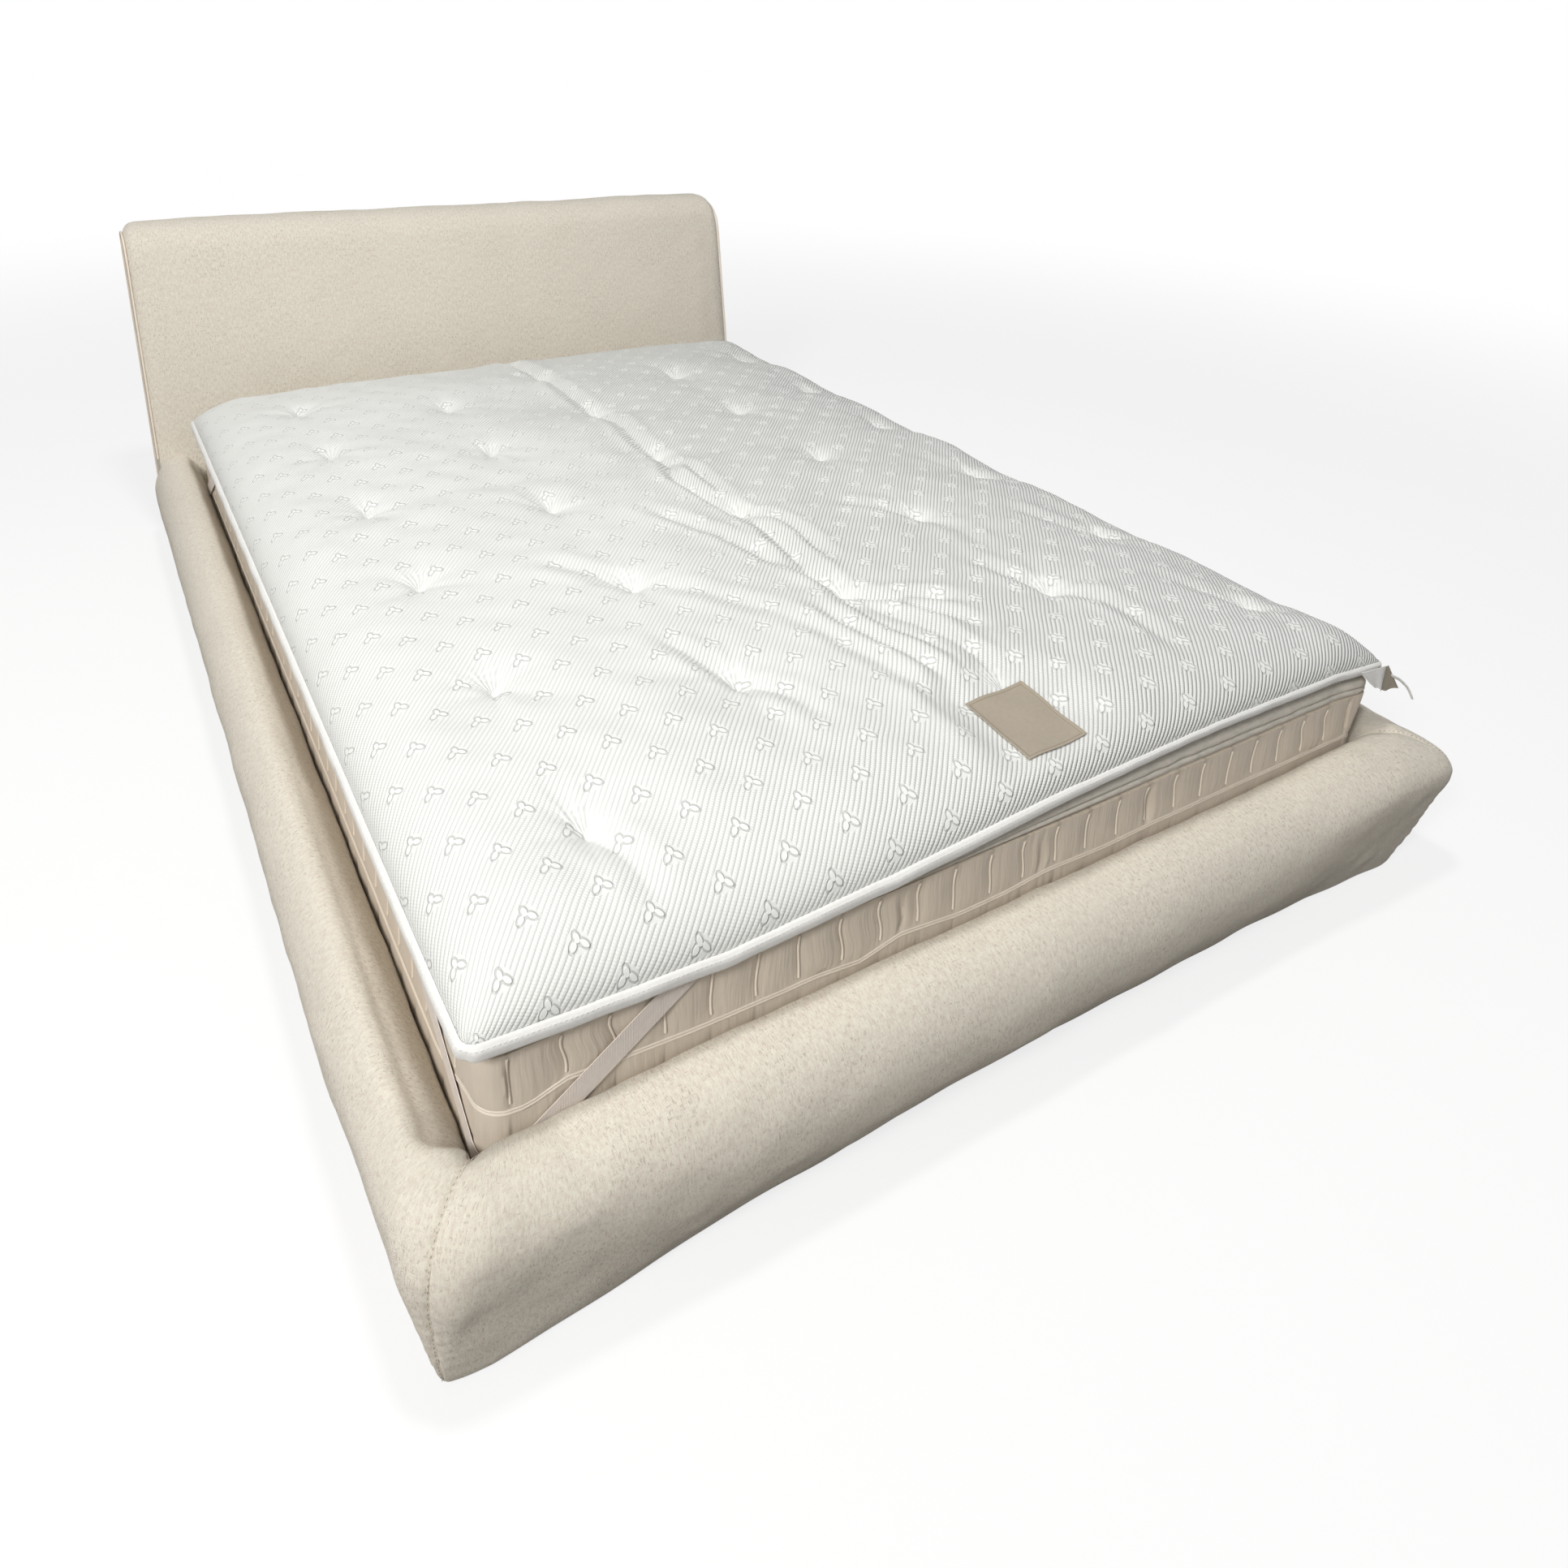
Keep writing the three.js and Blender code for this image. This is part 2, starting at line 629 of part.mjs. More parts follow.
// Points and outward directions round a rectangle with round corners, foot-left corner first
function roundedOutline (halfX, yLow, yHigh, radius, cornerSteps, straightPoints) {
  const corners = [
    [-halfX + radius, yLow + radius, Math.PI], [halfX - radius, yLow + radius, Math.PI * 1.5],
    [halfX - radius, yHigh - radius, 0], [-halfX + radius, yHigh - radius, Math.PI / 2]
  ]
  const outline = []
  corners.forEach(([cx, cy, from], index) => {
    for (let i = 0; i <= cornerSteps; i++) {
      const angle = from + Math.PI / 2 * i / cornerSteps
      const nx = Math.cos(angle)
      const ny = Math.sin(angle)
      outline.push({ x: cx + radius * nx, y: cy + radius * ny, nx, ny, dip: 0 })
    }
    const last = outline[outline.length - 1]
    const [nextX, nextY, nextFrom] = corners[(index + 1) % corners.length]
    const next = { x: nextX + radius * Math.cos(nextFrom), y: nextY + radius * Math.sin(nextFrom) }
    const length = Math.hypot(next.x - last.x, next.y - last.y)
    for (const [share, dip] of straightPoints(length)) {
      const x = last.x + (next.x - last.x) * share
      const y = last.y + (next.y - last.y) * share
      outline.push({ x, y, nx: last.nx, ny: last.ny, dip })
    }
  })
  return outline
}

const offsetPoint = (p, out, z) => new THREE.Vector3(p.x + p.nx * out, p.y + p.ny * out, z)

// A cord or tape of a given section laid round a closed outline
function sweepRound (outline, sectionPoints) {
  const rings = outline.map((p) => sectionPoints.map(([out, z]) => offsetPoint(p, out, z)))
  return loft(rings, null, true)
}

const plainSpan = () => [[0.25, 0], [0.5, 0], [0.75, 0]]

// Mattress: a plain lower border, a groove for its piping and an upper border sewn into channels
function addMattress () {
  const channels = (length) => {
    const count = Math.max(1, Math.round(length / channelPitch))
    return Array.from({ length: count * 2 - 1 }, (_, i) => [(i + 1) / (count * 2), i % 2 ? channelDepth : 0])
  }
  const around = (steps, straightPoints) =>
    roundedOutline(halfMattress, 0, mattressLength, mattressCornerRadius, steps, straightPoints)
  const border = around(plainCornerSteps / 2, channels)
  const plain = around(plainCornerSteps, () => [])
  const ring = (outline, inset, z) => outline.map((p) => offsetPoint(p, -inset - p.dip, z))
  const seam = mattressBottom + borderSeamRise
  const grooveLow = seam - borderPipingRadius - clearance
  const grooveHigh = seam + borderPipingRadius + clearance
  const flat = (p) => [p.x, p.y]
  const upper = loft([
    ring(border, 0, grooveHigh), ring(border, 0, mattressTop - mattressEdgeHeight),
    ring(border, mattressEdgeInset, mattressTop)
  ], flat)
  const core = loft([
    ring(plain, borderGrooveDepth, grooveLow - overrun), ring(plain, borderGrooveDepth, grooveHigh + overrun)
  ], flat)
  const lower = loft([
    ring(plain, mattressEdgeInset, mattressBottom), ring(plain, 0, mattressBottom + mattressEdgeHeight),
    ring(plain, 0, grooveLow)
  ], flat)
  addPiece('mattress', toGeometry(toSolid(upper).add(toSolid(core)).add(toSolid(lower))), 'ticking')
  const cord = roundOutline(borderPipingRadius, cordSides)
    .map((p) => [p.x - borderPipingRadius, p.y + seam])
  addPiece('mattress_piping', sweepRound(around(plainCornerSteps, plainSpan), cord), 'ticking')
}

// Topper: a flat underside and wall, a rounded edge, a crown and staggered sewn tufts
const topperWallTop = topperBottom + topperWallHeight

// As many tufts as fit at their pitch, every second column half a pitch on
function tuftPlaces () {
  const outerColumn = Math.floor((topperHalf - tuftSideRoom) / tuftPitchX)
  const fullRows = Math.floor((topperLength - tuftFirstRow * 2) / tuftPitchY) + 1
  const places = []
  for (let column = -outerColumn; column <= outerColumn; column++) {
    const shift = Math.abs(column) % 2
    for (let row = 0; row < fullRows - shift; row++) {
      places.push([
        tuftCentreX + column * tuftPitchX,
        topperFootY + tuftFirstRow + (row + shift / 2) * tuftPitchY
      ])
    }
  }
  return places
}

function topperHeight (x, y) {
  const fromSide = topperHalf - Math.abs(x - topperShiftX)
  const fromEnd = Math.min(y - topperFootY, topperHeadY - y)
  const edge = (distance) => Math.sqrt(1 - (1 - Math.min(distance / topperEdgeRun, 1)) ** 2)
  const crown = (distance) => Math.sin(Math.PI / 2 * Math.min(distance / topperCrownRun, 1))
  const dips = tuftPlaces().reduce((sum, [tx, ty]) =>
    sum + Math.exp(-((x - tx) ** 2 + (y - ty) ** 2) / tuftRadius ** 2), 0)
  return topperWallTop + topperEdgeRise * edge(fromSide) * edge(fromEnd) +
    topperCrownRise * crown(fromSide) * crown(fromEnd) - tuftDepth * dips * edge(fromSide) * edge(fromEnd)
}

// Grid lines from one edge to the other, closer together near the edges
function gridLines (low, high, count) {
  const edgeShares = [0, 0.12, 0.38, 0.78]
  const first = topperEdgeRun * edgeShares[edgeShares.length - 1]
  const middle = high - low - first * 2
  const inner = Array.from({ length: count - 1 }, (_, i) => low + first + middle * (i + 1) / count)
  return [
    ...edgeShares.map((share) => low + topperEdgeRun * share), ...inner,
    ...edgeShares.map((share) => high - topperEdgeRun * share).reverse()
  ]
}

function topperSolid () {
  const xs = gridLines(topperShiftX - topperHalf, topperShiftX + topperHalf, 20)
  const ys = gridLines(topperFootY, topperHeadY, 30)
  // Grid points outside a round corner are drawn in to it
  const rounded = (x, y) => {
    const dx = Math.abs(x - topperShiftX) - topperHalf + topperCornerRadius
    const middleY = (topperFootY + topperHeadY) / 2
    const dy = Math.abs(y - middleY) - topperLength / 2 + topperCornerRadius
    if (dx <= 0 || dy <= 0) return [x, y]
    const shrink = Math.max(dx, dy) / Math.hypot(dx, dy)
    const inward = 1 - shrink
    return [x - Math.sign(x - topperShiftX) * dx * inward, y - Math.sign(y - middleY) * dy * inward]
  }
  const points = []
  const faces = []
  const columns = xs.length
  for (const y of ys) {
    for (const x of xs) points.push(new THREE.Vector3(...rounded(x, y), topperHeight(x, y)))
  }
  for (let row = 0; row < ys.length - 1; row++) {
    for (let column = 0; column < columns - 1; column++) {
      const a = row * columns + column
      const [b, c, d] = [a + 1, a + columns + 1, a + columns]
      if ((row + column) % 2) faces.push([a, b, c], [a, c, d])
      else faces.push([a, b, d], [b, c, d])
    }
  }
  const last = ys.length - 1
  const edge = [
    ...xs.map((_, i) => i), ...ys.slice(1).map((_, i) => (i + 2) * columns - 1),
    ...xs.slice(1).map((_, i) => last * columns + columns - 2 - i),
    ...ys.slice(2).map((_, i) => (last - 1 - i) * columns)
  ]
  const base = points.length
  edge.forEach((index) => points.push(points[index].clone().setZ(topperBottom)))
  edge.forEach((index, i) => {
    const next = (i + 1) % edge.length
    faces.push([edge[next], index, base + i], [edge[next], base + i, base + next])
  })
  const hub = points.length
  points.push(new THREE.Vector3(topperShiftX, (topperFootY + topperHeadY) / 2, topperBottom))
  edge.forEach((_, i) => faces.push([base + (i + 1) % edge.length, base + i, hub]))
  return closedGeometry(points, faces)
}

function addTopper () {
  const geometry = topperSolid()
  addPiece('topper', geometry, 'knit')
  // The label lies on the topper's faceted top, so it is cut from lifted copies of that top
  const labelCentreY = topperFootY + labelInset
  const region = toSolid(boxBetween(
    [labelCentreX - labelWidth / 2, labelCentreY - labelLength / 2, topperWallTop],
    [labelCentreX + labelWidth / 2, labelCentreY + labelLength / 2, topperWallTop + topperEdgeRise * 2]))
  const lifted = (rise) => toSolid(geometry.clone().translate(0, 0, rise))
  const label = region.intersect(lifted(clearance * 2 + labelThickness)).subtract(lifted(clearance * 2))
  addPiece('label_patch', toGeometry(label), 'label')
}

function addTopperPiping () {
  const bulgeShares = [[0, 0.06], [0.55, 0], [0.9, 0.22], [1, 0.5], [0.9, 0.78], [0.55, 1], [0, 0.94]]
  const tape = bulgeShares.map(([out, up]) =>
    [clearance + out * topperPipingDepth, topperBottom + up * topperPipingHeight])
  const outline = roundedOutline(
    topperHalf, topperFootY, topperHeadY, topperCornerRadius, plainCornerSteps, plainSpan)
    .map((p) => ({ ...p, x: p.x + topperShiftX }))
  addPiece('topper_piping', sweepRound(outline, tape), 'tape')
}

// Elastic bands are strips wrapped on the mattress's upright faces.
// Places on them are distances along the mattress's outline from the middle of a corner.
function faceWalker (signX, atHead) {
  const radius = mattressCornerRadius
  const quarter = radius * Math.PI / 2
  const cornerX = signX * (halfMattress - radius)
  const cornerY = atHead ? mattressLength - radius : radius
  const endSign = atHead ? 1 : -1
  // Negative distances lie on the end face, positive ones on the side face
  return (distance, out, z) => {
    const angle = THREE.MathUtils.clamp(distance / quarter + 0.5, 0, 1) * Math.PI / 2
    const beyondEnd = Math.max(0, -distance - quarter / 2)
    const beyondSide = Math.max(0, distance - quarter / 2)
    return new THREE.Vector3(
      cornerX + signX * ((radius + out) * Math.sin(angle) - beyondEnd),
      cornerY + endSign * ((radius + out) * Math.cos(angle) - beyondSide), z)
  }
}

// A strip whose middle runs at height(distance), cut level under the topper's edge.
// Its sections are upright, so on a round corner they match the mattress's own facets.
function wrapStrip (walk, distances, height) {
  const rings = distances.map((distance) => {
    const slope = (height(distance + slopeStep) - height(distance - slopeStep)) / (slopeStep * 2)
    const half = bandWidth / 2 * Math.hypot(1, slope)
    const upper = Math.min(height(distance) + half, mattressTop)
    const lower = Math.min(height(distance) - half, mattressTop - bandThickness)
    const inner = clearance
    const outer = clearance + bandThickness
    return [[inner, lower], [inner, upper], [outer, upper], [outer, lower]]
      .map(([out, z]) => walk(distance, out, z))
  })
  return loft(rings, (p) => [p.x + p.y, p.z + (p.x - p.y) / 2])
}

function addBands () {
  const low = mattressBottom + bandLowPoint
  const rise = mattressTop - low
  const reaches = { end: bandReachFoot, side: bandReachSide }
  const hookedHeight = (distance) =>
    low + rise * Math.abs(distance) / (distance < 0 ? reaches.end : reaches.side)
  // Distances at which the band's upper and lower edges meet the topper's underside
  const meets = (reach, side) => {
    const slope = rise / reach
    const half = bandWidth / 2 * Math.hypot(1, slope)
    return (rise + side * half) / slope
  }
  const quarter = mattressCornerRadius * Math.PI / 2
  const cornerDistances = Array.from({ length: plainCornerSteps + 1 }, (_, i) =>
    (i / plainCornerSteps - 0.5) * quarter)
  const hooked = [
    -meets(reaches.end, bandTipShare), -meets(reaches.end, -1), -meets(reaches.end, -1) * bandKneeShare,
    ...cornerDistances,
    meets(reaches.side, -1) * bandKneeShare, meets(reaches.side, -1), meets(reaches.side, bandTipShare)
  ]
  addPiece('elastic_band_foot_left', wrapStrip(faceWalker(-1, false), hooked, hookedHeight), 'elastic')
  addPiece('elastic_band_head_left', wrapStrip(faceWalker(-1, true), hooked, hookedHeight), 'elastic')
  addPiece('elastic_band_head_right', wrapStrip(faceWalker(1, true), hooked, hookedHeight), 'elastic')
  // The band at the foot's right corner has come off the corner and hangs beside the mattress
  const slackSteps = 12
  const share = (distance) => THREE.MathUtils.clamp((distance - slackBandStart) / bandReachSide, 0, 1)
  const slackHeight = (distance) => mattressTop - slackBandDrop * Math.sin(Math.PI * share(distance))
  const slack = Array.from({ length: slackSteps - 1 }, (_, i) =>
    slackBandStart + bandReachSide * (i + 1) / slackSteps)
  addPiece('elastic_band_foot_right', wrapStrip(faceWalker(1, false), slack, slackHeight), 'elastic')
}

// Loose end of the topper's piping at the foot's right corner
function addPipingTail () {
  const reach = topperCornerRadius * (Math.SQRT1_2 - 1) + (topperPipingDepth + clearance * 2) * Math.SQRT1_2
  const start = new THREE.Vector3(
    topperShiftX + topperHalf + reach, topperFootY - reach, topperBottom + topperPipingHeight / 2)
  const tailShares = [[0, 0], [0.3, 0.02], [0.62, 0.22], [0.86, 0.6], [1, 1]]
  const points = tailShares.map(([out, down]) => {
    const sideways = tailLength * out * Math.SQRT1_2
    return new THREE.Vector3(start.x + sideways, start.y - sideways, start.z - tailDrop * down)
  })
  const path = new THREE.CatmullRomCurve3(points)
  const circle = new THREE.Shape(roundOutline(tailRadius, 8))
  addPiece('piping_tail', new THREE.ExtrudeGeometry(circle, { steps: 8, extrudePath: path }), 'tape')
}

addCornerBlocks()
addSideBoards()
addEndBoards()
addLedgersAndBeam()
addSlattedBase()
addSideCovers()
addFootCover()
addHeadboardPad()
addHeadboardFrame()
addHeadboardPiping()
addMattress()
addTopper()
addTopperPiping()
addBands()
addPipingTail()

// The origin is the middle of the footprint, on the floor
const extent = new THREE.Box3().setFromObject(bed)
const centre = extent.getCenter(new THREE.Vector3())
bed.position.set(-centre.x, -centre.y, -extent.min.z)

export default bed
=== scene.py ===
"""Looks of a low upholstered bed with a mattress and a tufted topper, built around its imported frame.

Sizes are metres. The classes work from the middle of the mattress's foot edge, with the foot
toward -Y, and Maker.build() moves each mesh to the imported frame's own origin.
"""
import logging
import math
from dataclasses import dataclass
from enum import Enum
from functools import cache

import bpy
import numpy as np
from mathutils import Matrix, Vector


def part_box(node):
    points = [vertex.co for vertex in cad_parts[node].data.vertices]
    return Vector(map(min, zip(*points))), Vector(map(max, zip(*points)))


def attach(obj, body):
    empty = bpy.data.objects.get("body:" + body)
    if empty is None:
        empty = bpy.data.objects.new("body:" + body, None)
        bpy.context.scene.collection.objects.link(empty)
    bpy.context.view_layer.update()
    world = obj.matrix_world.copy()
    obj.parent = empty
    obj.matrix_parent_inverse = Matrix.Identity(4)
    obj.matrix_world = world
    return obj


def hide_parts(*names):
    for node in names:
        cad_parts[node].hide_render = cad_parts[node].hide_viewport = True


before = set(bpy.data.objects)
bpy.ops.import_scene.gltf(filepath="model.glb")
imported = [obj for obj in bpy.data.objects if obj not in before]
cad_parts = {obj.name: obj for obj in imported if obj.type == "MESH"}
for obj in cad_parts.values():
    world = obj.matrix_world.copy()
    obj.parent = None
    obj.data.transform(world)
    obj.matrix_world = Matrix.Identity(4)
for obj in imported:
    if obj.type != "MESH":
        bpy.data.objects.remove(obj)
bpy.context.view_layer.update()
FOOT_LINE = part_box("mattress")[0].y
CLOTH_UV = "cloth"
LOG = logging.getLogger("bed")
Array = np.ndarray
Piece = bpy.types.Object
Socket = bpy.types.NodeSocket
Triple = tuple[float, float, float]
Rows = tuple[Triple, ...]


class Body(Enum):
    """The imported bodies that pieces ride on."""

    FRAME = "frame"
    BASE = "slatted_base"
    MATTRESS = "mattress"
    TOPPER = "topper"


class Axis(Enum):
    """The direction in which a board's grain runs."""

    X = 0
    Y = 1
    Z = 2


# ---------------------------------------------------------------- numbers and curves


def linear(rgb: tuple[int, int, int]) -> tuple[float, float, float, float]:
    """Turns a screen colour into the linear colour that shaders take.

    Args:
        rgb: Red, green and blue from 0 to 255.

    Returns:
        The linear colour with an alpha of 1.
    """
    parts = [c / 255 for c in rgb]
    return (*[c / 12.92 if c < 0.04045 else ((c + 0.055) / 1.055) ** 2.4 for c in parts], 1.0)


def ripple(x: Array, y: Array, wave: float, seed: int, count: int = 9) -> Array:
    """Gives a smooth random field of about unit size.

    Args:
        x: First coordinate of each point.
        y: Second coordinate of each point.
        wave: Typical length of one wave.
        seed: Seed of the field.
        count: How many plane waves are added.

    Returns:
        The field at each point.
    """
    rng = np.random.default_rng(seed)
    angle = rng.uniform(0, 2 * math.pi, count)
    number = 2 * math.pi / (wave * rng.uniform(0.75, 1.4, count))
    phase = rng.uniform(0, 2 * math.pi, count)
    waves = np.multiply.outer(x, number * np.cos(angle)) + np.multiply.outer(y, number * np.sin(angle))
    return np.cos(waves + phase).sum(-1) / math.sqrt(count / 2) * 0.7


def smooth(value: Array, low: float, high: float) -> Array:
    """Rises softly from 0 at low to 1 at high, or falls where high is the smaller."""
    share = np.clip((value - low) / (high - low), 0, 1)
    return share * share * (3 - 2 * share)


def spline(points: list | Array, count: int, measured: int = 3) -> Array:
    """Spaces points evenly along a smooth curve through the given ones.

    Args:
        points: Known points, one in each row.
        count: How many points come back.
        measured: How many leading columns count toward the curve's length.

    Returns:
        The evenly spaced points.
    """
    known = np.asarray(points, float)
    step = np.linalg.norm(np.diff(known[:, :measured], axis=0), axis=1) ** 0.5
    slope = np.diff(known, axis=0) / step[:, None]
    inner = (slope[:-1] * step[1:, None] + slope[1:] * step[:-1, None]) / (step[:-1] + step[1:])[:, None]
    tangent = np.vstack([slope[:1], inner, slope[-1:]])
    t = np.linspace(0, 1, 20, endpoint=False)[:, None]
    parts = []
    for i, h in enumerate(step):
        parts.append(
            (2 * t**3 - 3 * t**2 + 1) * known[i] + (t**3 - 2 * t**2 + t) * h * tangent[i]
            + (3 * t**2 - 2 * t**3) * known[i + 1] + (t**3 - t**2) * h * tangent[i + 1]
        )
    fine = np.vstack([*parts, known[-1:]])
    run = lengths(fine[:, :measured])
    wanted = np.linspace(0, run[-1], count)
    return np.stack([np.interp(wanted, run, fine[:, k]) for k in range(fine.shape[1])], -1)


def lengths(points: Array) -> Array:
    """Gives the distance run at each point of a line, from its first point."""
    return np.concatenate([[0.0], np.cumsum(np.linalg.norm(np.diff(points, axis=0), axis=1))])


def loop_lengths(points: Array) -> Array:
    """Gives the distance run at each point of a loop, its first point given again at the end."""
    return lengths(np.vstack([points, points[:1]]))


def crossings(first: Array, second: Array) -> Array:
    """Gives the pair of numbers at each crossing of two runs."""
    return np.stack(np.meshgrid(first, second, indexing="ij"), -1)


def round_corners(x: Array, y: Array, box: Triple, radius: float, shift: float = 0.0) -> tuple[Array, Array]:
    """Draws grid points outside the round corners of a rectangle in to them.

    Args:
        x: First coordinate of each point.
        y: Second coordinate of each point.
        box: The rectangle's half width, low end and high end.
        radius: Radius of its corners.
        shift: Place of its middle across.

    Returns:
        The new coordinates.
    """
    half, low, high = box
    middle = (low + high) / 2
    dx = np.clip(np.abs(x - shift) - half + radius, 0, None)
    dy = np.clip(np.abs(y - middle) - (high - low) / 2 + radius, 0, None)
    away = np.maximum(np.hypot(dx, dy), 1e-9)
    back = np.where((dx > 0) & (dy > 0), 1 - np.maximum(dx, dy) / away, 0.0)
    return x - np.sign(x - shift) * dx * back, y - np.sign(y - middle) * dy * back


def line_distance(x: Array, y: Array, line: Array) -> tuple[Array, Array]:
    """Measures how far points lie from a line of segments.

    Args:
        x: First coordinate of each point.
        y: Second coordinate of each point.
        line: The line's points, one in each row.

    Returns:
        Each point's signed distance (positive on the line's left), and its place along the
        line as a share from 0 to 1.
    """
    run = lengths(line)
    best = np.full(x.shape, 1e9)
    signed = np.zeros(x.shape)
    place = np.zeros(x.shape)
    for (ax, ay), (bx, by), start, length in zip(line[:-1], line[1:], run[:-1], np.diff(run)):
        dx, dy = (bx - ax) / length, (by - ay) / length
        along = np.clip((x - ax) * dx + (y - ay) * dy, 0, length)
        away = np.hypot(x - ax - along * dx, y - ay - along * dy)
        side = np.where(dx * (y - ay) - dy * (x - ax) >= 0, 1.0, -1.0)
        nearer = away < best
        best = np.where(nearer, away, best)
        signed = np.where(nearer, away * side, signed)
        place = np.where(nearer, (start + along) / run[-1], place)
    return signed, place


@dataclass(frozen=True)
class Outline:
    """A rectangle with round corners in plan, walked from its foot-left corner.

    The walk runs along the foot, up the right side, along the head and down the left side.
    """

    half: float
    low: float
    high: float
    radius: float
    shift: float = 0.0

    def walk(self, straight: list[Array], corner: int) -> tuple[Array, Array]:
        """Places points round the outline.

        Args:
            straight: Shares along each of the four straights, ends left out.
            corner: Steps round each corner.

        Returns:
            The points and their outward directions, two columns each.
        """
        x, r = self.half - self.radius, self.radius
        centres = [(-x, self.low + r), (x, self.low + r), (x, self.high - r), (-x, self.high - r)]
        points, normals = [], []
        for side, (cx, cy) in enumerate(centres):
            angle = math.pi * (1 + side / 2) + np.linspace(0, math.pi / 2, corner + 1)
            normal = np.stack([np.cos(angle), np.sin(angle)], -1)
            points.append(np.array([cx, cy]) + normal * r)
            normals.append(normal)
            nx, ny = centres[(side + 1) % 4]
            start, end = points[-1][-1], np.array([nx, ny]) + normal[-1] * r
            share = straight[side][:, None]
            points.append(start + (end - start) * share)
            normals.append(np.repeat(normal[-1:], len(share), axis=0))
        return np.vstack(points) + [self.shift, 0], np.vstack(normals)

    def even(self, spacing: float, corner: int = 8) -> tuple[Array, Array]:
        """Walks the outline with about one spacing between points.

        Args:
            spacing: Length aimed at between points.
            corner: Steps round each corner.

        Returns:
            Points and outward normals.
        """
        across, along = 2 * (self.half - self.radius), self.high - self.low - 2 * self.radius
        counts = [max(2, round(length / spacing)) for length in (across, along, across, along)]
        return self.walk([np.arange(1, n) / n for n in counts], corner)


# ---------------------------------------------------------------- mesh and node helpers


class Maker:
    """Collects the points and faces of one mesh, and keeps cloth coordinates in metres."""

    def __init__(self) -> None:
        """Starts an empty mesh."""
        self.points: list[Array] = []
        self.faces: list[Array] = []
        self.uvs: list[Array] = []
        self.count = 0

    def add(self, points: Array) -> Array:
        """Adds points and returns their indices in the same arrangement.

        Args:
            points: Points, with their coordinates on the last axis.

        Returns:
            Indices arranged like the points.
        """
        flat = np.asarray(points, float).reshape(-1, 3)
        index = np.arange(self.count, self.count + len(flat)).reshape(np.shape(points)[:-1])
        self.points.append(flat)
        self.count += len(flat)
        return index

    def grid(self, index: Array, uv: Array) -> None:
        """Adds four-sided faces between neighbours in an arrangement of indices.

        Args:
            index: Indices in rows.
            uv: Cloth coordinates of each, in metres.
        """
        corners = [(slice(None, -1), slice(None, -1)), (slice(None, -1), slice(1, None)),
                   (slice(1, None), slice(1, None)), (slice(1, None), slice(None, -1))]
        self.faces.append(np.stack([index[c] for c in corners], -1).reshape(-1, 4))
        self.uvs.append(np.stack([uv[c] for c in corners], -2).reshape(-1, 4, 2))

    def fan(self, ring: Array, centre: Array, flat: tuple[int, int] = (0, 1)) -> None:
        """Closes a loop of indices with triangles to a new centre point.

        Args:
            ring: Indices of the loop.
            centre: The new centre point.
            flat: Axes that give the cloth coordinates.
        """
        hub = int(self.add(centre[None])[0])
        self.faces.append(np.stack([ring, np.roll(ring, -1), np.full(len(ring), hub)], -1))
        self.uvs.append(np.vstack(self.points)[self.faces[-1]][..., list(flat)])

    def slab(self, low: Array, high: Array, uv: Array) -> None:
        """Closes two like sheets of points into a thin slab that faces out on the high one.

        Args:
            low: Points of the hidden side.
            high: Points of the seen side.
            uv: Cloth coordinates of each, in metres.
        """
        low, high = self.add(low), self.add(high)
        self.grid(high, uv)
        self.grid(low[::-1], uv[::-1])
        back = slice(None, None, -1)
        for part in ((slice(None), 0), (-1, slice(None)), (back, -1), (0, back)):
            self.grid(np.stack([low[part], high[part]]), np.stack([uv[part], uv[part]]))

    @staticmethod
    def rim(index: Array) -> Array:
        """Gives the loop of indices round a sheet."""
        parts = ((slice(None), 0), (-1, slice(1, None)), (slice(-2, None, -1), -1), (0, slice(-2, 0, -1)))
        return np.concatenate([index[part] for part in parts])

    def cap(self, ring: Array, flat: tuple[int, int]) -> None:
        """Closes a flat loop of indices with one face."""
        self.faces.append(np.asarray(ring)[None])
        self.uvs.append(np.vstack(self.points)[self.faces[-1]][..., list(flat)])

    def build(self, name: str, finish: "Finish", crease: float = 60.0,
              marks: dict[str, Array] | None = None) -> Piece:
        """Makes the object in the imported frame, with its faces outward.

        Args:
            name: The piece's name.
            finish: The finish that it gets.
            crease: Edges sharper than this many degrees stay sharp.
            marks: Named numbers for each point, for its material.

        Returns:
            The new object.
        """
        points = np.vstack(self.points)
        volume = 0.0
        for faces in self.faces:
            for k in range(1, faces.shape[1] - 1):
                a, b, c = points[faces[:, 0]], points[faces[:, k]], points[faces[:, k + 1]]
                volume += float(np.einsum("ij,ij->i", a, np.cross(b, c)).sum())
        turn = -1 if volume < 0 else 1
        faces = [row for part in self.faces for row in part[:, ::turn].tolist()]
        uvs = np.concatenate([part[:, ::turn].reshape(-1, 2) for part in self.uvs])
        mesh = bpy.data.meshes.new(name)
        mesh.from_pydata((points + [0, FOOT_LINE, 0]).tolist(), [], faces)
        mesh.uv_layers.new(name=CLOTH_UV).data.foreach_set("uv", uvs.astype(np.float32).ravel())
        for mark, values in (marks or {}).items():
            kind, field = ("FLOAT", "value") if values.ndim == 1 else ("FLOAT_VECTOR", "vector")
            kept = mesh.attributes.new(mark, kind, "POINT").data
            kept.foreach_set(field, values.astype(np.float32).ravel())
        mesh.shade_smooth()
        mesh.set_sharp_from_angle(angle=math.radians(crease))
        mesh.materials.append(finish.material())
        return linked(name, mesh)


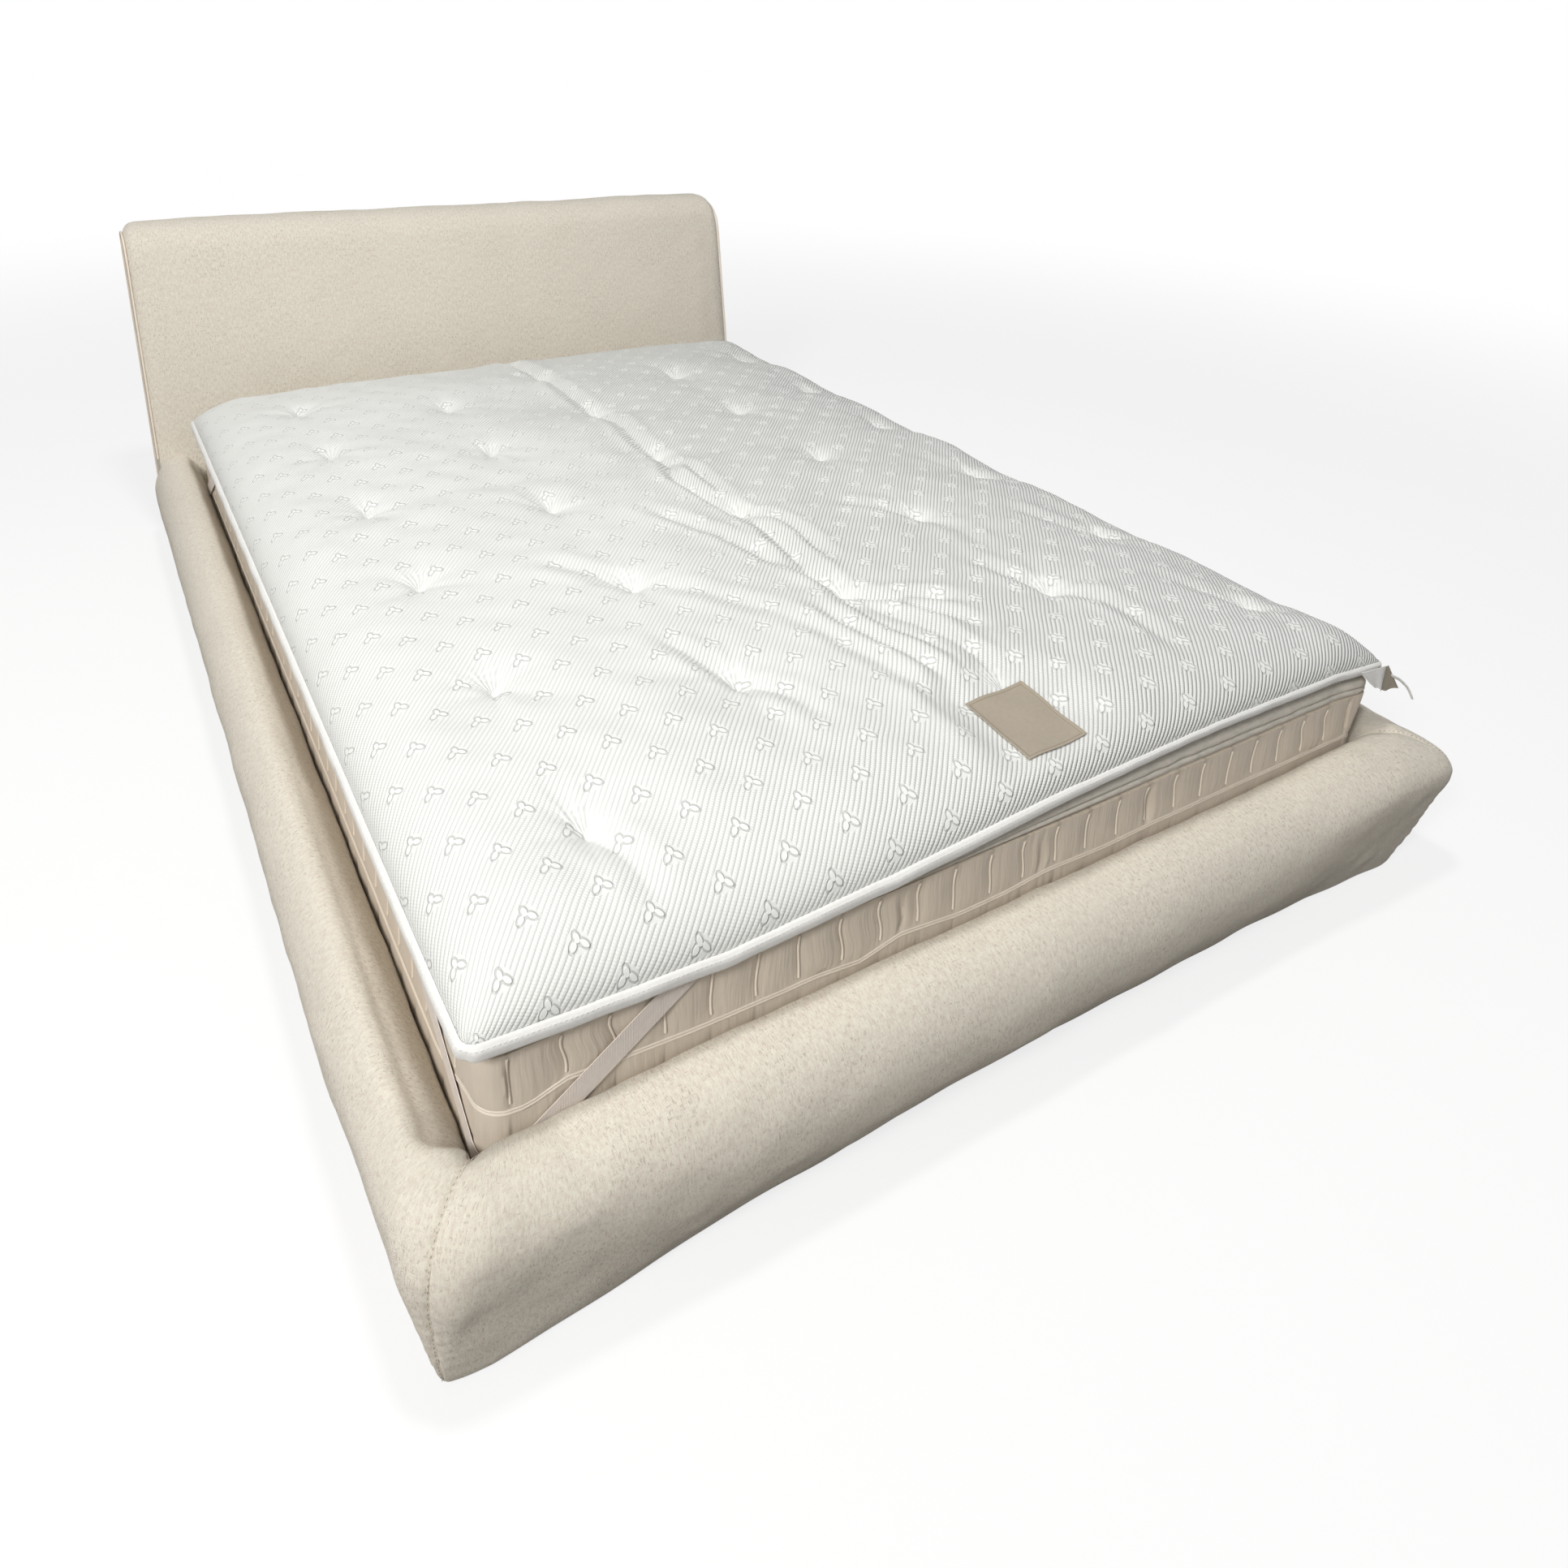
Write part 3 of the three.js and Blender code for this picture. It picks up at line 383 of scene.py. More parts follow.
def linked(name: str, data: bpy.types.ID) -> Piece:
    """Makes an object of a mesh, lamp or camera and links it to the scene.

    Args:
        name: Name of the object.
        data: What it shows.

    Returns:
        The linked object.
    """
    made = bpy.data.objects.new(name, data)
    bpy.context.scene.collection.objects.link(made)
    return made


def normals_of(rings: Array) -> Array:
    """Gives unit normals of a sheet of points from its neighbours' directions."""
    normal = np.cross(np.gradient(rings, axis=0), np.gradient(rings, axis=1))
    return normal / np.maximum(np.linalg.norm(normal, axis=-1, keepdims=True), 1e-12)


def tube(maker: Maker, path: Array, radius: Array | float, sides: int, closed: bool = False,
         up: Triple = (0, 0, 1), flatten: float = 1.0) -> None:
    """Adds a round cord along a path.

    Args:
        maker: The mesh that gets it.
        path: Points along the cord's middle.
        radius: The cord's radius, one for all or one for each point.
        sides: Points round the cord.
        closed: Whether the path joins its own start.
        up: A direction that the path never runs in.
        flatten: The cord's height as a share of its width.
    """
    ahead = np.roll(path, -1, 0) - np.roll(path, 1, 0) if closed else np.gradient(path, axis=0)
    ahead /= np.linalg.norm(ahead, axis=1, keepdims=True)
    side = np.cross(ahead, up)
    side /= np.linalg.norm(side, axis=1, keepdims=True)
    rise = np.cross(side, ahead)
    angle = np.linspace(0, 2 * math.pi, sides, endpoint=False)
    size = np.broadcast_to(radius, len(path))[:, None, None]
    rings = path[:, None] + size * (np.cos(angle)[None, :, None] * side[:, None]
                                    + flatten * np.sin(angle)[None, :, None] * rise[:, None])
    index = maker.add(rings)
    around = np.append(angle, 2 * math.pi) * float(np.mean(radius))
    wrapped = np.hstack([index, index[:, :1]])
    if closed:
        wrapped = np.vstack([wrapped, wrapped[:1]])
    maker.grid(wrapped, crossings(loop_lengths(path) if closed else lengths(path), around))
    if not closed:
        maker.cap(index[0][::-1], (0, 2))
        maker.cap(index[-1], (0, 2))


def baked(source: Piece, name: str) -> Piece:
    """Turns an object's live modifiers into a plain mesh of its own, and removes the source.

    Args:
        source: Object with live modifiers.
        name: Name of the new object.

    Returns:
        The new object.
    """
    graph = bpy.context.evaluated_depsgraph_get()
    mesh = bpy.data.meshes.new_from_object(source.evaluated_get(graph))
    source.modifiers.clear()
    bpy.data.objects.remove(source)
    mesh.name = name
    return linked(name, mesh)


class Term:
    """A value inside a node tree, on which sums are written as plain arithmetic."""

    def __init__(self, tree: "Tree", socket: Socket) -> None:
        """Takes a node's output."""
        self.tree, self.socket = tree, socket

    def __add__(self, other: object) -> "Term":
        """Adds another value."""
        return self.tree.math("ADD", self, other)

    def __sub__(self, other: object) -> "Term":
        """Takes another value off."""
        return self.tree.math("SUBTRACT", self, other)

    def __rsub__(self, other: float) -> "Term":
        """Takes this value off a number."""
        return self.tree.math("SUBTRACT", other, self)

    def __mul__(self, other: object) -> "Term":
        """Multiplies by another value."""
        return self.tree.math("MULTIPLY", self, other)

    def __pow__(self, other: float) -> "Term":
        """Raises to a power."""
        return self.tree.math("POWER", self, other)

    def __abs__(self) -> "Term":
        """Drops the sign."""
        return self.tree.math("ABSOLUTE", self)

    def sine(self) -> "Term":
        """Takes the sine."""
        return self.tree.math("SINE", self)

    def scaled(self, times: object, plus: object) -> "Term":
        """Multiplies by one value and adds another."""
        return self.tree.math("MULTIPLY_ADD", self, times, plus)


class Tree:
    """Short ways to add and link the nodes of one tree."""

    def __init__(self, tree: bpy.types.NodeTree) -> None:
        """Takes the tree that the nodes go into."""
        self.tree = tree

    def node(self, kind: str, settings: dict | None = None, inputs: dict | None = None) -> bpy.types.Node:
        """Adds a node.

        Args:
            kind: The node's type.
            settings: Its properties by name.
            inputs: Its inputs by name or number: another node's output, or a constant.

        Returns:
            The new node.
        """
        made = self.tree.nodes.new(kind)
        for key, value in (settings or {}).items():
            setattr(made, key, value)
        for key, value in (inputs or {}).items():
            value = value.socket if isinstance(value, Term) else value
            if isinstance(value, Socket):
                self.tree.links.new(value, made.inputs[key])
            else:
                made.inputs[key].default_value = value
        return made

    def term(self, output: int | str, kind: str, settings: dict | None = None,
             inputs: dict | None = None) -> Term:
        """Adds a node and returns the named or numbered output."""
        return Term(self, self.node(kind, settings, inputs).outputs[output])

    def math(self, operation: str, *values: object) -> Term:
        """Adds a Math node."""
        return self.term(0, "ShaderNodeMath", {"operation": operation}, dict(enumerate(values)))

    def vector(self, operation: str, *values: object) -> Term:
        """Adds a Vector Math node."""
        output = "Value" if operation in ("DOT_PRODUCT", "LENGTH") else "Vector"
        return self.term(output, "ShaderNodeVectorMath", {"operation": operation}, dict(enumerate(values)))

    def split(self, vector: Term) -> list[Term]:
        """Gives a vector's three parts."""
        made = self.node("ShaderNodeSeparateXYZ", {}, {"Vector": vector})
        return [Term(self, part) for part in made.outputs]

    def most(self, first: object, second: object) -> Term:
        """Gives the larger of two values."""
        return self.math("MAXIMUM", first, second)

    def hypot(self, x: Term, y: Term) -> Term:
        """Gives the distance that two offsets make."""
        return self.math("SQRT", x * x + y * y)

    def noise(self, vector: object, scale: float, detail: float = 2.0, rough: float = 0.5,
              output: str = "Fac") -> Term:
        """Adds a Noise texture."""
        inputs = {"Vector": vector, "Scale": scale, "Detail": detail, "Roughness": rough}
        return self.term(output, "ShaderNodeTexNoise", {}, inputs)

    def threads(self, cloth: Term, along: float, across: float, detail: float, rough: float = 0.5) -> Term:
        """Adds noise whose grains are drawn out along or across the cloth."""
        return self.noise(self.stretch(cloth, (along, across, 1)), 1, detail, rough)

    def wandered(self, cloth: Term, scale: float, detail: float, far: float) -> Term:
        """Lets the cloth's coordinates wander by up to a distance."""
        wander = self.noise(cloth, scale, detail, output="Color")
        return self.vector("ADD", cloth, self.vector("MULTIPLY", wander, (far, far, 0)))

    def step(self, value: object, low: float, high: float, to_low: float = 0.0, to_high: float = 1.0) -> Term:
        """Maps a value softly from one range to another."""
        inputs = {"Value": value, "From Min": low, "From Max": high, "To Min": to_low, "To Max": to_high}
        return self.term("Result", "ShaderNodeMapRange", {"interpolation_type": "SMOOTHSTEP"}, inputs)

    def mix(self, factor: object, first: object, second: object) -> Term:
        """Mixes two colours."""
        return self.term(2, "ShaderNodeMix", {"data_type": "RGBA"}, {0: factor, 6: first, 7: second})

    def between(self, share: object, first: object, second: object) -> Term:
        """Goes from one number to another by a share."""
        return self.term(0, "ShaderNodeMix", {"data_type": "FLOAT"}, {0: share, 2: first, 3: second})

    def stretch(self, vector: object, scale: Triple, turn: float = 0.0) -> Term:
        """Scales a pattern's coordinates, after a turn about Z."""
        inputs = {"Vector": vector, "Rotation": (0, 0, turn), "Scale": scale}
        return self.term("Vector", "ShaderNodeMapping", {"vector_type": "POINT"}, inputs)

    def bump(self, height: object, distance: float, strength: float = 1.0) -> Term:
        """Turns a height into a normal."""
        inputs = {"Height": height, "Distance": distance, "Strength": strength}
        return self.term("Normal", "ShaderNodeBump", {}, inputs)

    def mark(self, name: str, output: str = "Fac") -> Term:
        """Gives a number or vector that is kept for each point of the mesh."""
        return self.term(output, "ShaderNodeAttribute", {"attribute_name": name})

    def cloth(self) -> Term:
        """Gives the cloth's own coordinates, in metres along and across it."""
        return self.term("UV", "ShaderNodeUVMap", {"uv_map": CLOTH_UV})

    def place(self) -> Term:
        """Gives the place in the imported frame, in metres."""
        return self.term("Object", "ShaderNodeTexCoord")


# ---------------------------------------------------------------- finishes


@dataclass(frozen=True)
class Finish:
    """A surface finish and its procedural material."""

    name: str
    colour: tuple[int, int, int]
    roughness: float = 0.9
    sheen: float = 0.0
    metallic: float = 0.0
    specular: float = 0.3

    def material(self) -> bpy.types.Material:
        """Gives the finish's material, made on first use.

        Returns:
            The material.
        """
        known = bpy.data.materials.get(self.name)
        if known:
            return known
        made = bpy.data.materials.new(self.name)
        made.use_nodes = True
        shader = made.node_tree.nodes["Principled BSDF"]
        for socket, value in {
            "Base Color": linear(self.colour), "Roughness": self.roughness, "Metallic": self.metallic,
            "Sheen Weight": self.sheen, "Sheen Roughness": 0.5, "Specular IOR Level": self.specular,
        }.items():
            shader.inputs[socket].default_value = value
        made.diffuse_color = linear(self.colour)
        tree = Tree(made.node_tree)
        for part, term in zip(("Base Color", "Normal"), self.dress(tree)):
            tree.tree.links.new(term.socket, shader.inputs[part])
        return made

    def shade(self, amount: float) -> tuple[float, float, float, float]:
        """Gives the finish's colour made lighter or darker by a factor."""
        r, g, b, _ = linear(self.colour)
        return (min(r * amount, 1.0), min(g * amount, 1.0), min(b * amount, 1.0), 1.0)

    def shades(self, tree: Tree, factor: object, dark: float, light: float) -> Term:
        """Goes from a darker to a lighter shade of the finish by a factor."""
        return tree.mix(factor, self.shade(dark), self.shade(light))

    def dress(self, tree: Tree) -> tuple[Term, Term]:
        """Gives the pattern's colour and normal. The plain finish has a faint mottle and grain.

        Args:
            tree: The finish's node tree.

        Returns:
            Colour and normal for the shader.
        """
        place = tree.place()
        tone = self.shades(tree, tree.noise(place, 40, 3), 0.9, 1.06)
        return tone, tree.bump(tree.noise(place, 900, 2), 0.0002, 0.3)


@dataclass(frozen=True)
class CoverWeave(Finish):
    """Cream upholstery cloth: a slubby plain weave with darker flecks."""

    pitch: float = 0.0014
    fleck: tuple[int, int, int] = (158, 142, 122)
    fleck_share: float = 0.44

    def dress(self, tree: Tree) -> tuple[Term, Term]:
        """Weaves threads, slubs and flecks over the cloth's own coordinates.

        Args:
            tree: The finish's node tree.

        Returns:
            Colour and normal for the shader.
        """
        cloth = tree.cloth()
        turn = 2 * math.pi / self.pitch
        turns = tree.vector("MULTIPLY", tree.wandered(cloth, 120, 2, 0.0016), (turn, turn, 0))
        warp, weft, _ = tree.split(turns)
        weave = warp.sine() * weft.sine()
        slubs = tree.most(tree.threads(cloth, 120, 420, 3, 0.65), tree.threads(cloth, 420, 120, 3, 0.65))
        clumps = tree.threads(cloth, 230, 85, 4, 0.85)
        height = weave * 0.25 + (slubs + clumps)
        crosswise = tree.step(tree.threads(cloth, 90, 430, 2, 0.6), 0.63, 0.70)
        upright = tree.step(tree.threads(cloth, 520, 140, 2, 0.6), 0.57, 0.65)
        worn = tree.step(tree.noise(cloth, 9, 2), 0.35, 0.65, 0.55, 1.0)
        flecks = tree.most(crosswise, upright) * worn
        tone = self.shades(tree, tree.step(clumps, 0.36, 0.64), 0.87, 1.09)
        tone = tree.mix(tree.step(slubs, 0.5, 0.7) * 0.5, tone, self.shade(1.15))
        tone = tree.mix(flecks * self.fleck_share, tone, linear(self.fleck))
        tone = tree.mix(tree.step(tree.noise(cloth, 4, 3), 0.3, 0.7) * 0.1, tone, self.shade(0.85))
        return tone, tree.bump(height, 0.0015, 0.8)


@dataclass(frozen=True)
class TopKnit(Finish):
    """White double knit: slanting beaded ribs and small raised leaf knots on a lattice."""

    rib: float = 0.0062
    bead: float = 0.0034
    slant: float = math.radians(49.2)
    first: tuple[float, float] = (-0.045, -0.048)
    second: tuple[float, float] = (0.039, -0.045)
    leaf: tuple[float, float] = (0.0036, 0.0062)
    leaves: Rows = ((0.0, 0.0045, 0.0), (-0.0060, -0.0025, 0.65), (0.0060, -0.0025, -0.65))
    ground: float = 0.0135
    plain_ground: float = 0.6

    def dress(self, tree: Tree) -> tuple[Term, Term]:
        """Knits the ribs and knots, which fade where the mark named taut is high.

        Args:
            tree: The finish's node tree.

        Returns:
            Colour and normal for the shader.
        """
        cloth = tree.cloth()
        warped = tree.wandered(cloth, 14, 1, 0.004)
        across = tree.vector("DOT_PRODUCT", warped, (-math.sin(self.slant), math.cos(self.slant), 0))
        along = tree.vector("DOT_PRODUCT", warped, (math.cos(self.slant), math.sin(self.slant), 0))
        lane = across * (1 / self.rib)
        ridge = abs((lane * math.pi).sine()) ** 0.8
        beat = along * (1 / self.bead) + tree.math("FLOOR", lane) * 0.5
        ribs = ridge * abs((beat * math.pi).sine()).scaled(0.4, 0.6)
        knots, ground = self.knots(tree, cloth)
        # Painted light: the ribs and their painted groove shade fade out toward the left side, mixed with
        # broad noise, standing in for light that falls along the ribs there
        rib_light_fade = tree.noise(cloth, 2.6, 1).scaled(0.8, tree.split(cloth)[0])
        ribs = tree.between(tree.step(rib_light_fade, 0.60, 0.0, 0.0, 0.55), ribs, self.plain_ground)
        pleats, fan = self.pleats(tree, cloth)
        flat = tree.between(fan, tree.between(tree.mark("taut"), ribs, 0.5), pleats)
        fuzz = tree.noise(cloth, 1500, 2)
        height = tree.between(ground, flat, self.plain_ground) + knots + fuzz * 0.16
        # Painted shade: the colour darkens where the knit is low, in the rib grooves, round the knots'
        # outlines and in the tufts' pleats, and lightens a little on the crests
        tone = self.shades(tree, tree.step(height, 0.05, 0.85), 0.66, 1.05)
        return tone, tree.bump(height, 0.0025, 0.85)

    def pleats(self, tree: Tree, cloth: Term) -> tuple[Term, Term]:
        """Gives the pleats that fan out from each tuft, and how far they take the ribs' place.

        Args:
            tree: The finish's node tree.
            cloth: Place on the cloth.

        Returns:
            The pleats' height and their share.
        """
        x, y, near = tree.split(tree.mark("tuft", "Vector"))
        angle = tree.math("ARCTAN2", x, y)
        away = tree.hypot(x, y)
        lobes = tree.math("COSINE", angle.scaled(30, tree.noise(cloth, 20, 1) * 9))
        ragged = tree.noise(tree.vector("ADD", cloth, (3.7, 1.9, 0)), 45, 2) * 0.04
        wide = tree.step(abs(angle), 0.80, 0.30)
        reach = tree.step(away, 0.005, 0.014) * tree.step(away + ragged, 0.080, 0.045)
        return lobes.scaled(0.30, 0.52), wide * reach * (near * 0.6)

    def knots(self, tree: Tree, cloth: Term) -> tuple[Term, Term]:
        """Gives the raised outlines of the three-leaved sprigs, one in each lattice cell.

        Args:
            tree: The finish's node tree.
            cloth: Place on the cloth.

        Returns:
            Height of the outlines and of their ground.
        """
        (ax, ay), (bx, by) = self.first, self.second
        area = ax * by - ay * bx
        a = tree.math("FRACT", tree.vector("DOT_PRODUCT", cloth, (by / area, -bx / area, 0))) - 0.5
        b = tree.math("FRACT", tree.vector("DOT_PRODUCT", cloth, (-ay / area, ax / area, 0))) - 0.5
        x, y = a * ax + b * bx, a * ay + b * by
        raised, sunk = None, None
        for across, up, turn in self.leaves:
            u, v = x - across, y - up
            wide = (u * math.cos(turn) + v * -math.sin(turn)) * (1 / self.leaf[0])
            tall = (u * math.sin(turn) + v * math.cos(turn)) * (1 / self.leaf[1])
            away = tree.hypot(wide, tall)
            leaf = tree.step(away, 1.0, 0.75)
            groove = tree.step(abs(away - 1.18), 0.30, 0.10)
            raised = tree.most(raised, leaf) if raised else leaf
            sunk = tree.most(sunk, groove) if sunk else groove
        outline = raised * 0.3 - sunk * (1.0 - raised) * 0.36
        return outline, tree.step(tree.hypot(x, y), self.ground, self.ground * 0.75)


@dataclass(frozen=True)
class Ticking(Finish):
    """Smooth mattress ticking with fine wrinkles."""

    def dress(self, tree: Tree) -> tuple[Term, Term]:
        """Adds fine upright wrinkles, a close weave and a faint mottle.

        Args:
            tree: The finish's node tree.

        Returns:
            Colour and normal for the shader.
        """
        cloth = tree.cloth()
        height = tree.threads(cloth, 105, 11, 2) + tree.threads(cloth, 1400, 900, 1) * 0.05
        tone = self.shades(tree, tree.noise(cloth, 30, 3), 0.95, 1.03)
        # Painted shade: the mark named seam darkens the ticking beside the welts and along the lower border's
        # sunk seams
        return tree.mix(tree.mark("seam"), tone, self.shade(0.62)), tree.bump(height, 0.005, 0.4)


@dataclass(frozen=True)
class QuiltedTicking(Finish):
    """Ticking sewn to wadding in wavy diagonal rows."""

    row: float = 0.075
    bend: float = 0.006

    def dress(self, tree: Tree) -> tuple[Term, Term]:
        """Sews the rows both ways and lets the cloth swell between them.

        Args:
            tree: The finish's node tree.

        Returns:
            Colour and normal for the shader.
        """
        cloth = tree.cloth()
        swells = []
        for turn in (math.radians(45), math.radians(-45)):
            across, along, _ = tree.split(tree.stretch(cloth, (1, 1, 1), turn))
            lane = (across + (along * 42).sine() * self.bend) * (math.pi / self.row)
            swells.append(abs(lane.sine()) ** 0.45)
        inward = tree.step(tree.split(cloth)[1], 0.03, 0.06)
        height = tree.between(inward, 0.7, swells[0] * swells[1])
        fine = tree.threads(cloth, 70, 160, 3)
        # Painted shade: the colour darkens toward the sewn rows, where the swells dip
        tone = self.shades(tree, tree.step(height, 0.0, 0.6), 0.82, 1.03)
        tone = tree.mix(tree.step(fine, 0.3, 0.7), self.shade(0.90), tone)
        return tone, tree.bump(height + fine * 0.12, 0.009, 0.8)


@dataclass(frozen=True)
class Ribbed(Finish):
    """Woven tape, band or webbing: fine ribs across it and threads along it."""

    rib: float = 0.0016
    depth: float = 0.0004
    across_rib: float = 0.0008

    def dress(self, tree: Tree) -> tuple[Term, Term]:
        """Weaves the ribs over the cloth's own coordinates.

        Args:
            tree: The finish's node tree.

        Returns:
            Colour and normal for the shader.
        """
        cloth = tree.cloth()
        along, across, _ = tree.split(cloth)
        long, short = ((part * (2 * math.pi / size)).sine()
                       for part, size in ((along, self.rib), (across, self.across_rib)))
        weave = long * 0.5 + short * 0.3
        mottle = tree.noise(cloth, 160, 3)
        # Partly painted shade: the colour darkens a little in the ribs' grooves, over a random mottle that is
        # the cloth's own
        tone = self.shades(tree, weave.scaled(0.25, mottle), 0.88, 1.05)
        return tone, tree.bump(weave + mottle, self.depth, 0.6)


@dataclass(frozen=True)
class Timber(Finish):
    """Planed pine: long grain with a few darker bands."""

    grain: Axis = Axis.X
    rings: float = 55.0

    def dress(self, tree: Tree) -> tuple[Term, Term]:
        """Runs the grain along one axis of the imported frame.

        Args:
            tree: The finish's node tree.

        Returns:
            Colour and normal for the shader.
        """
        scale = [self.rings] * 3
        scale[self.grain.value] = self.rings / 30
        long = tree.stretch(tree.place(), tuple(scale))
        lines = abs((tree.noise(long, 1.0, 4, 0.55) * 34).sine())
        fine = tree.noise(tree.stretch(long, (9, 9, 9)), 1.0, 3, 0.6)
        tone = self.shades(tree, tree.step(lines, 0.1, 0.95), 0.78, 1.08)
        tone = tree.mix(tree.step(fine, 0.52, 0.7) * 0.35, tone, self.shade(0.66))
        return tone, tree.bump(fine * 0.7 + lines * 0.3, 0.0005, 0.45)


@dataclass(frozen=True)
class Brushed(Finish):
    """Zinc-plated steel with fine turning marks."""

    def dress(self, tree: Tree) -> tuple[Term, Term]:
        """Adds marks round the bolts and a cloudy tarnish.

        Args:
            tree: The finish's node tree.

        Returns:
            Colour and normal for the shader.
        """
        place = tree.place()
        marks = tree.noise(tree.stretch(place, (2600, 200, 2600)), 1, 2)
        return self.shades(tree, tree.noise(place, 160, 3), 0.78, 1.08), tree.bump(marks, 0.0002, 0.35)


COVER = CoverWeave("cover_weave", (252, 240, 225), 0.92, 0.15, specular=0.15)
KNIT = TopKnit("topper_knit", (238, 239, 236), 0.9, 0.1, specular=0.15)
TAPE = Ribbed("binding_tape", (244, 243, 240), 0.7, 0.1, rib=0.0009, depth=0.0002, across_rib=0.0012)
THREAD = Finish("white_thread", (232, 231, 226), 0.75, specular=0.35)
SEAM_THREAD = Finish("cover_thread", (168, 156, 140), 0.85)
BORDER = Ticking("border_ticking", (219, 207, 191), 0.72, 0.15)
WELT = Finish("border_welt", (238, 227, 212), 0.8, 0.15)
QUILT = QuiltedTicking("quilted_ticking", (220, 214, 203), 0.85, 0.2)
ELASTIC = Ribbed("band_elastic", (240, 230, 222), 0.72, 0.1, rib=0.0022, depth=0.0005, across_rib=0.0011)
LABEL = Ribbed("label_cloth", (174, 163, 146), 0.8, 0.15, rib=0.0011, depth=0.0002)
LABEL_THREAD = Finish("label_thread", (120, 104, 84), 0.8)
WEBBING = Ribbed("slat_webbing", (150, 145, 137), 0.9, rib=0.003, depth=0.0006, across_rib=0.0015)
LINING = Ribbed("back_lining", (88, 84, 79), 0.95, rib=0.0014, depth=0.0004, across_rib=0.0014)
PINE_X = Timber("pine_across", (222, 190, 143), 0.6, specular=0.35, grain=Axis.X)
PINE_Y = Timber("pine_along", (222, 190, 143), 0.6, specular=0.35, grain=Axis.Y)
PINE_Z = Timber("pine_upright", (222, 190, 143), 0.6, specular=0.35, grain=Axis.Z)
PLYWOOD = Timber("plywood_face", (206, 176, 130), 0.65, specular=0.3, grain=Axis.X, rings=22.0)
STEEL = Brushed("zinc_steel", (188, 190, 192), 0.32, metallic=1.0, specular=0.5)
PLASTIC = Finish("glide_plastic", (40, 40, 43), 0.5, specular=0.45)


# ---------------------------------------------------------------- what repeats


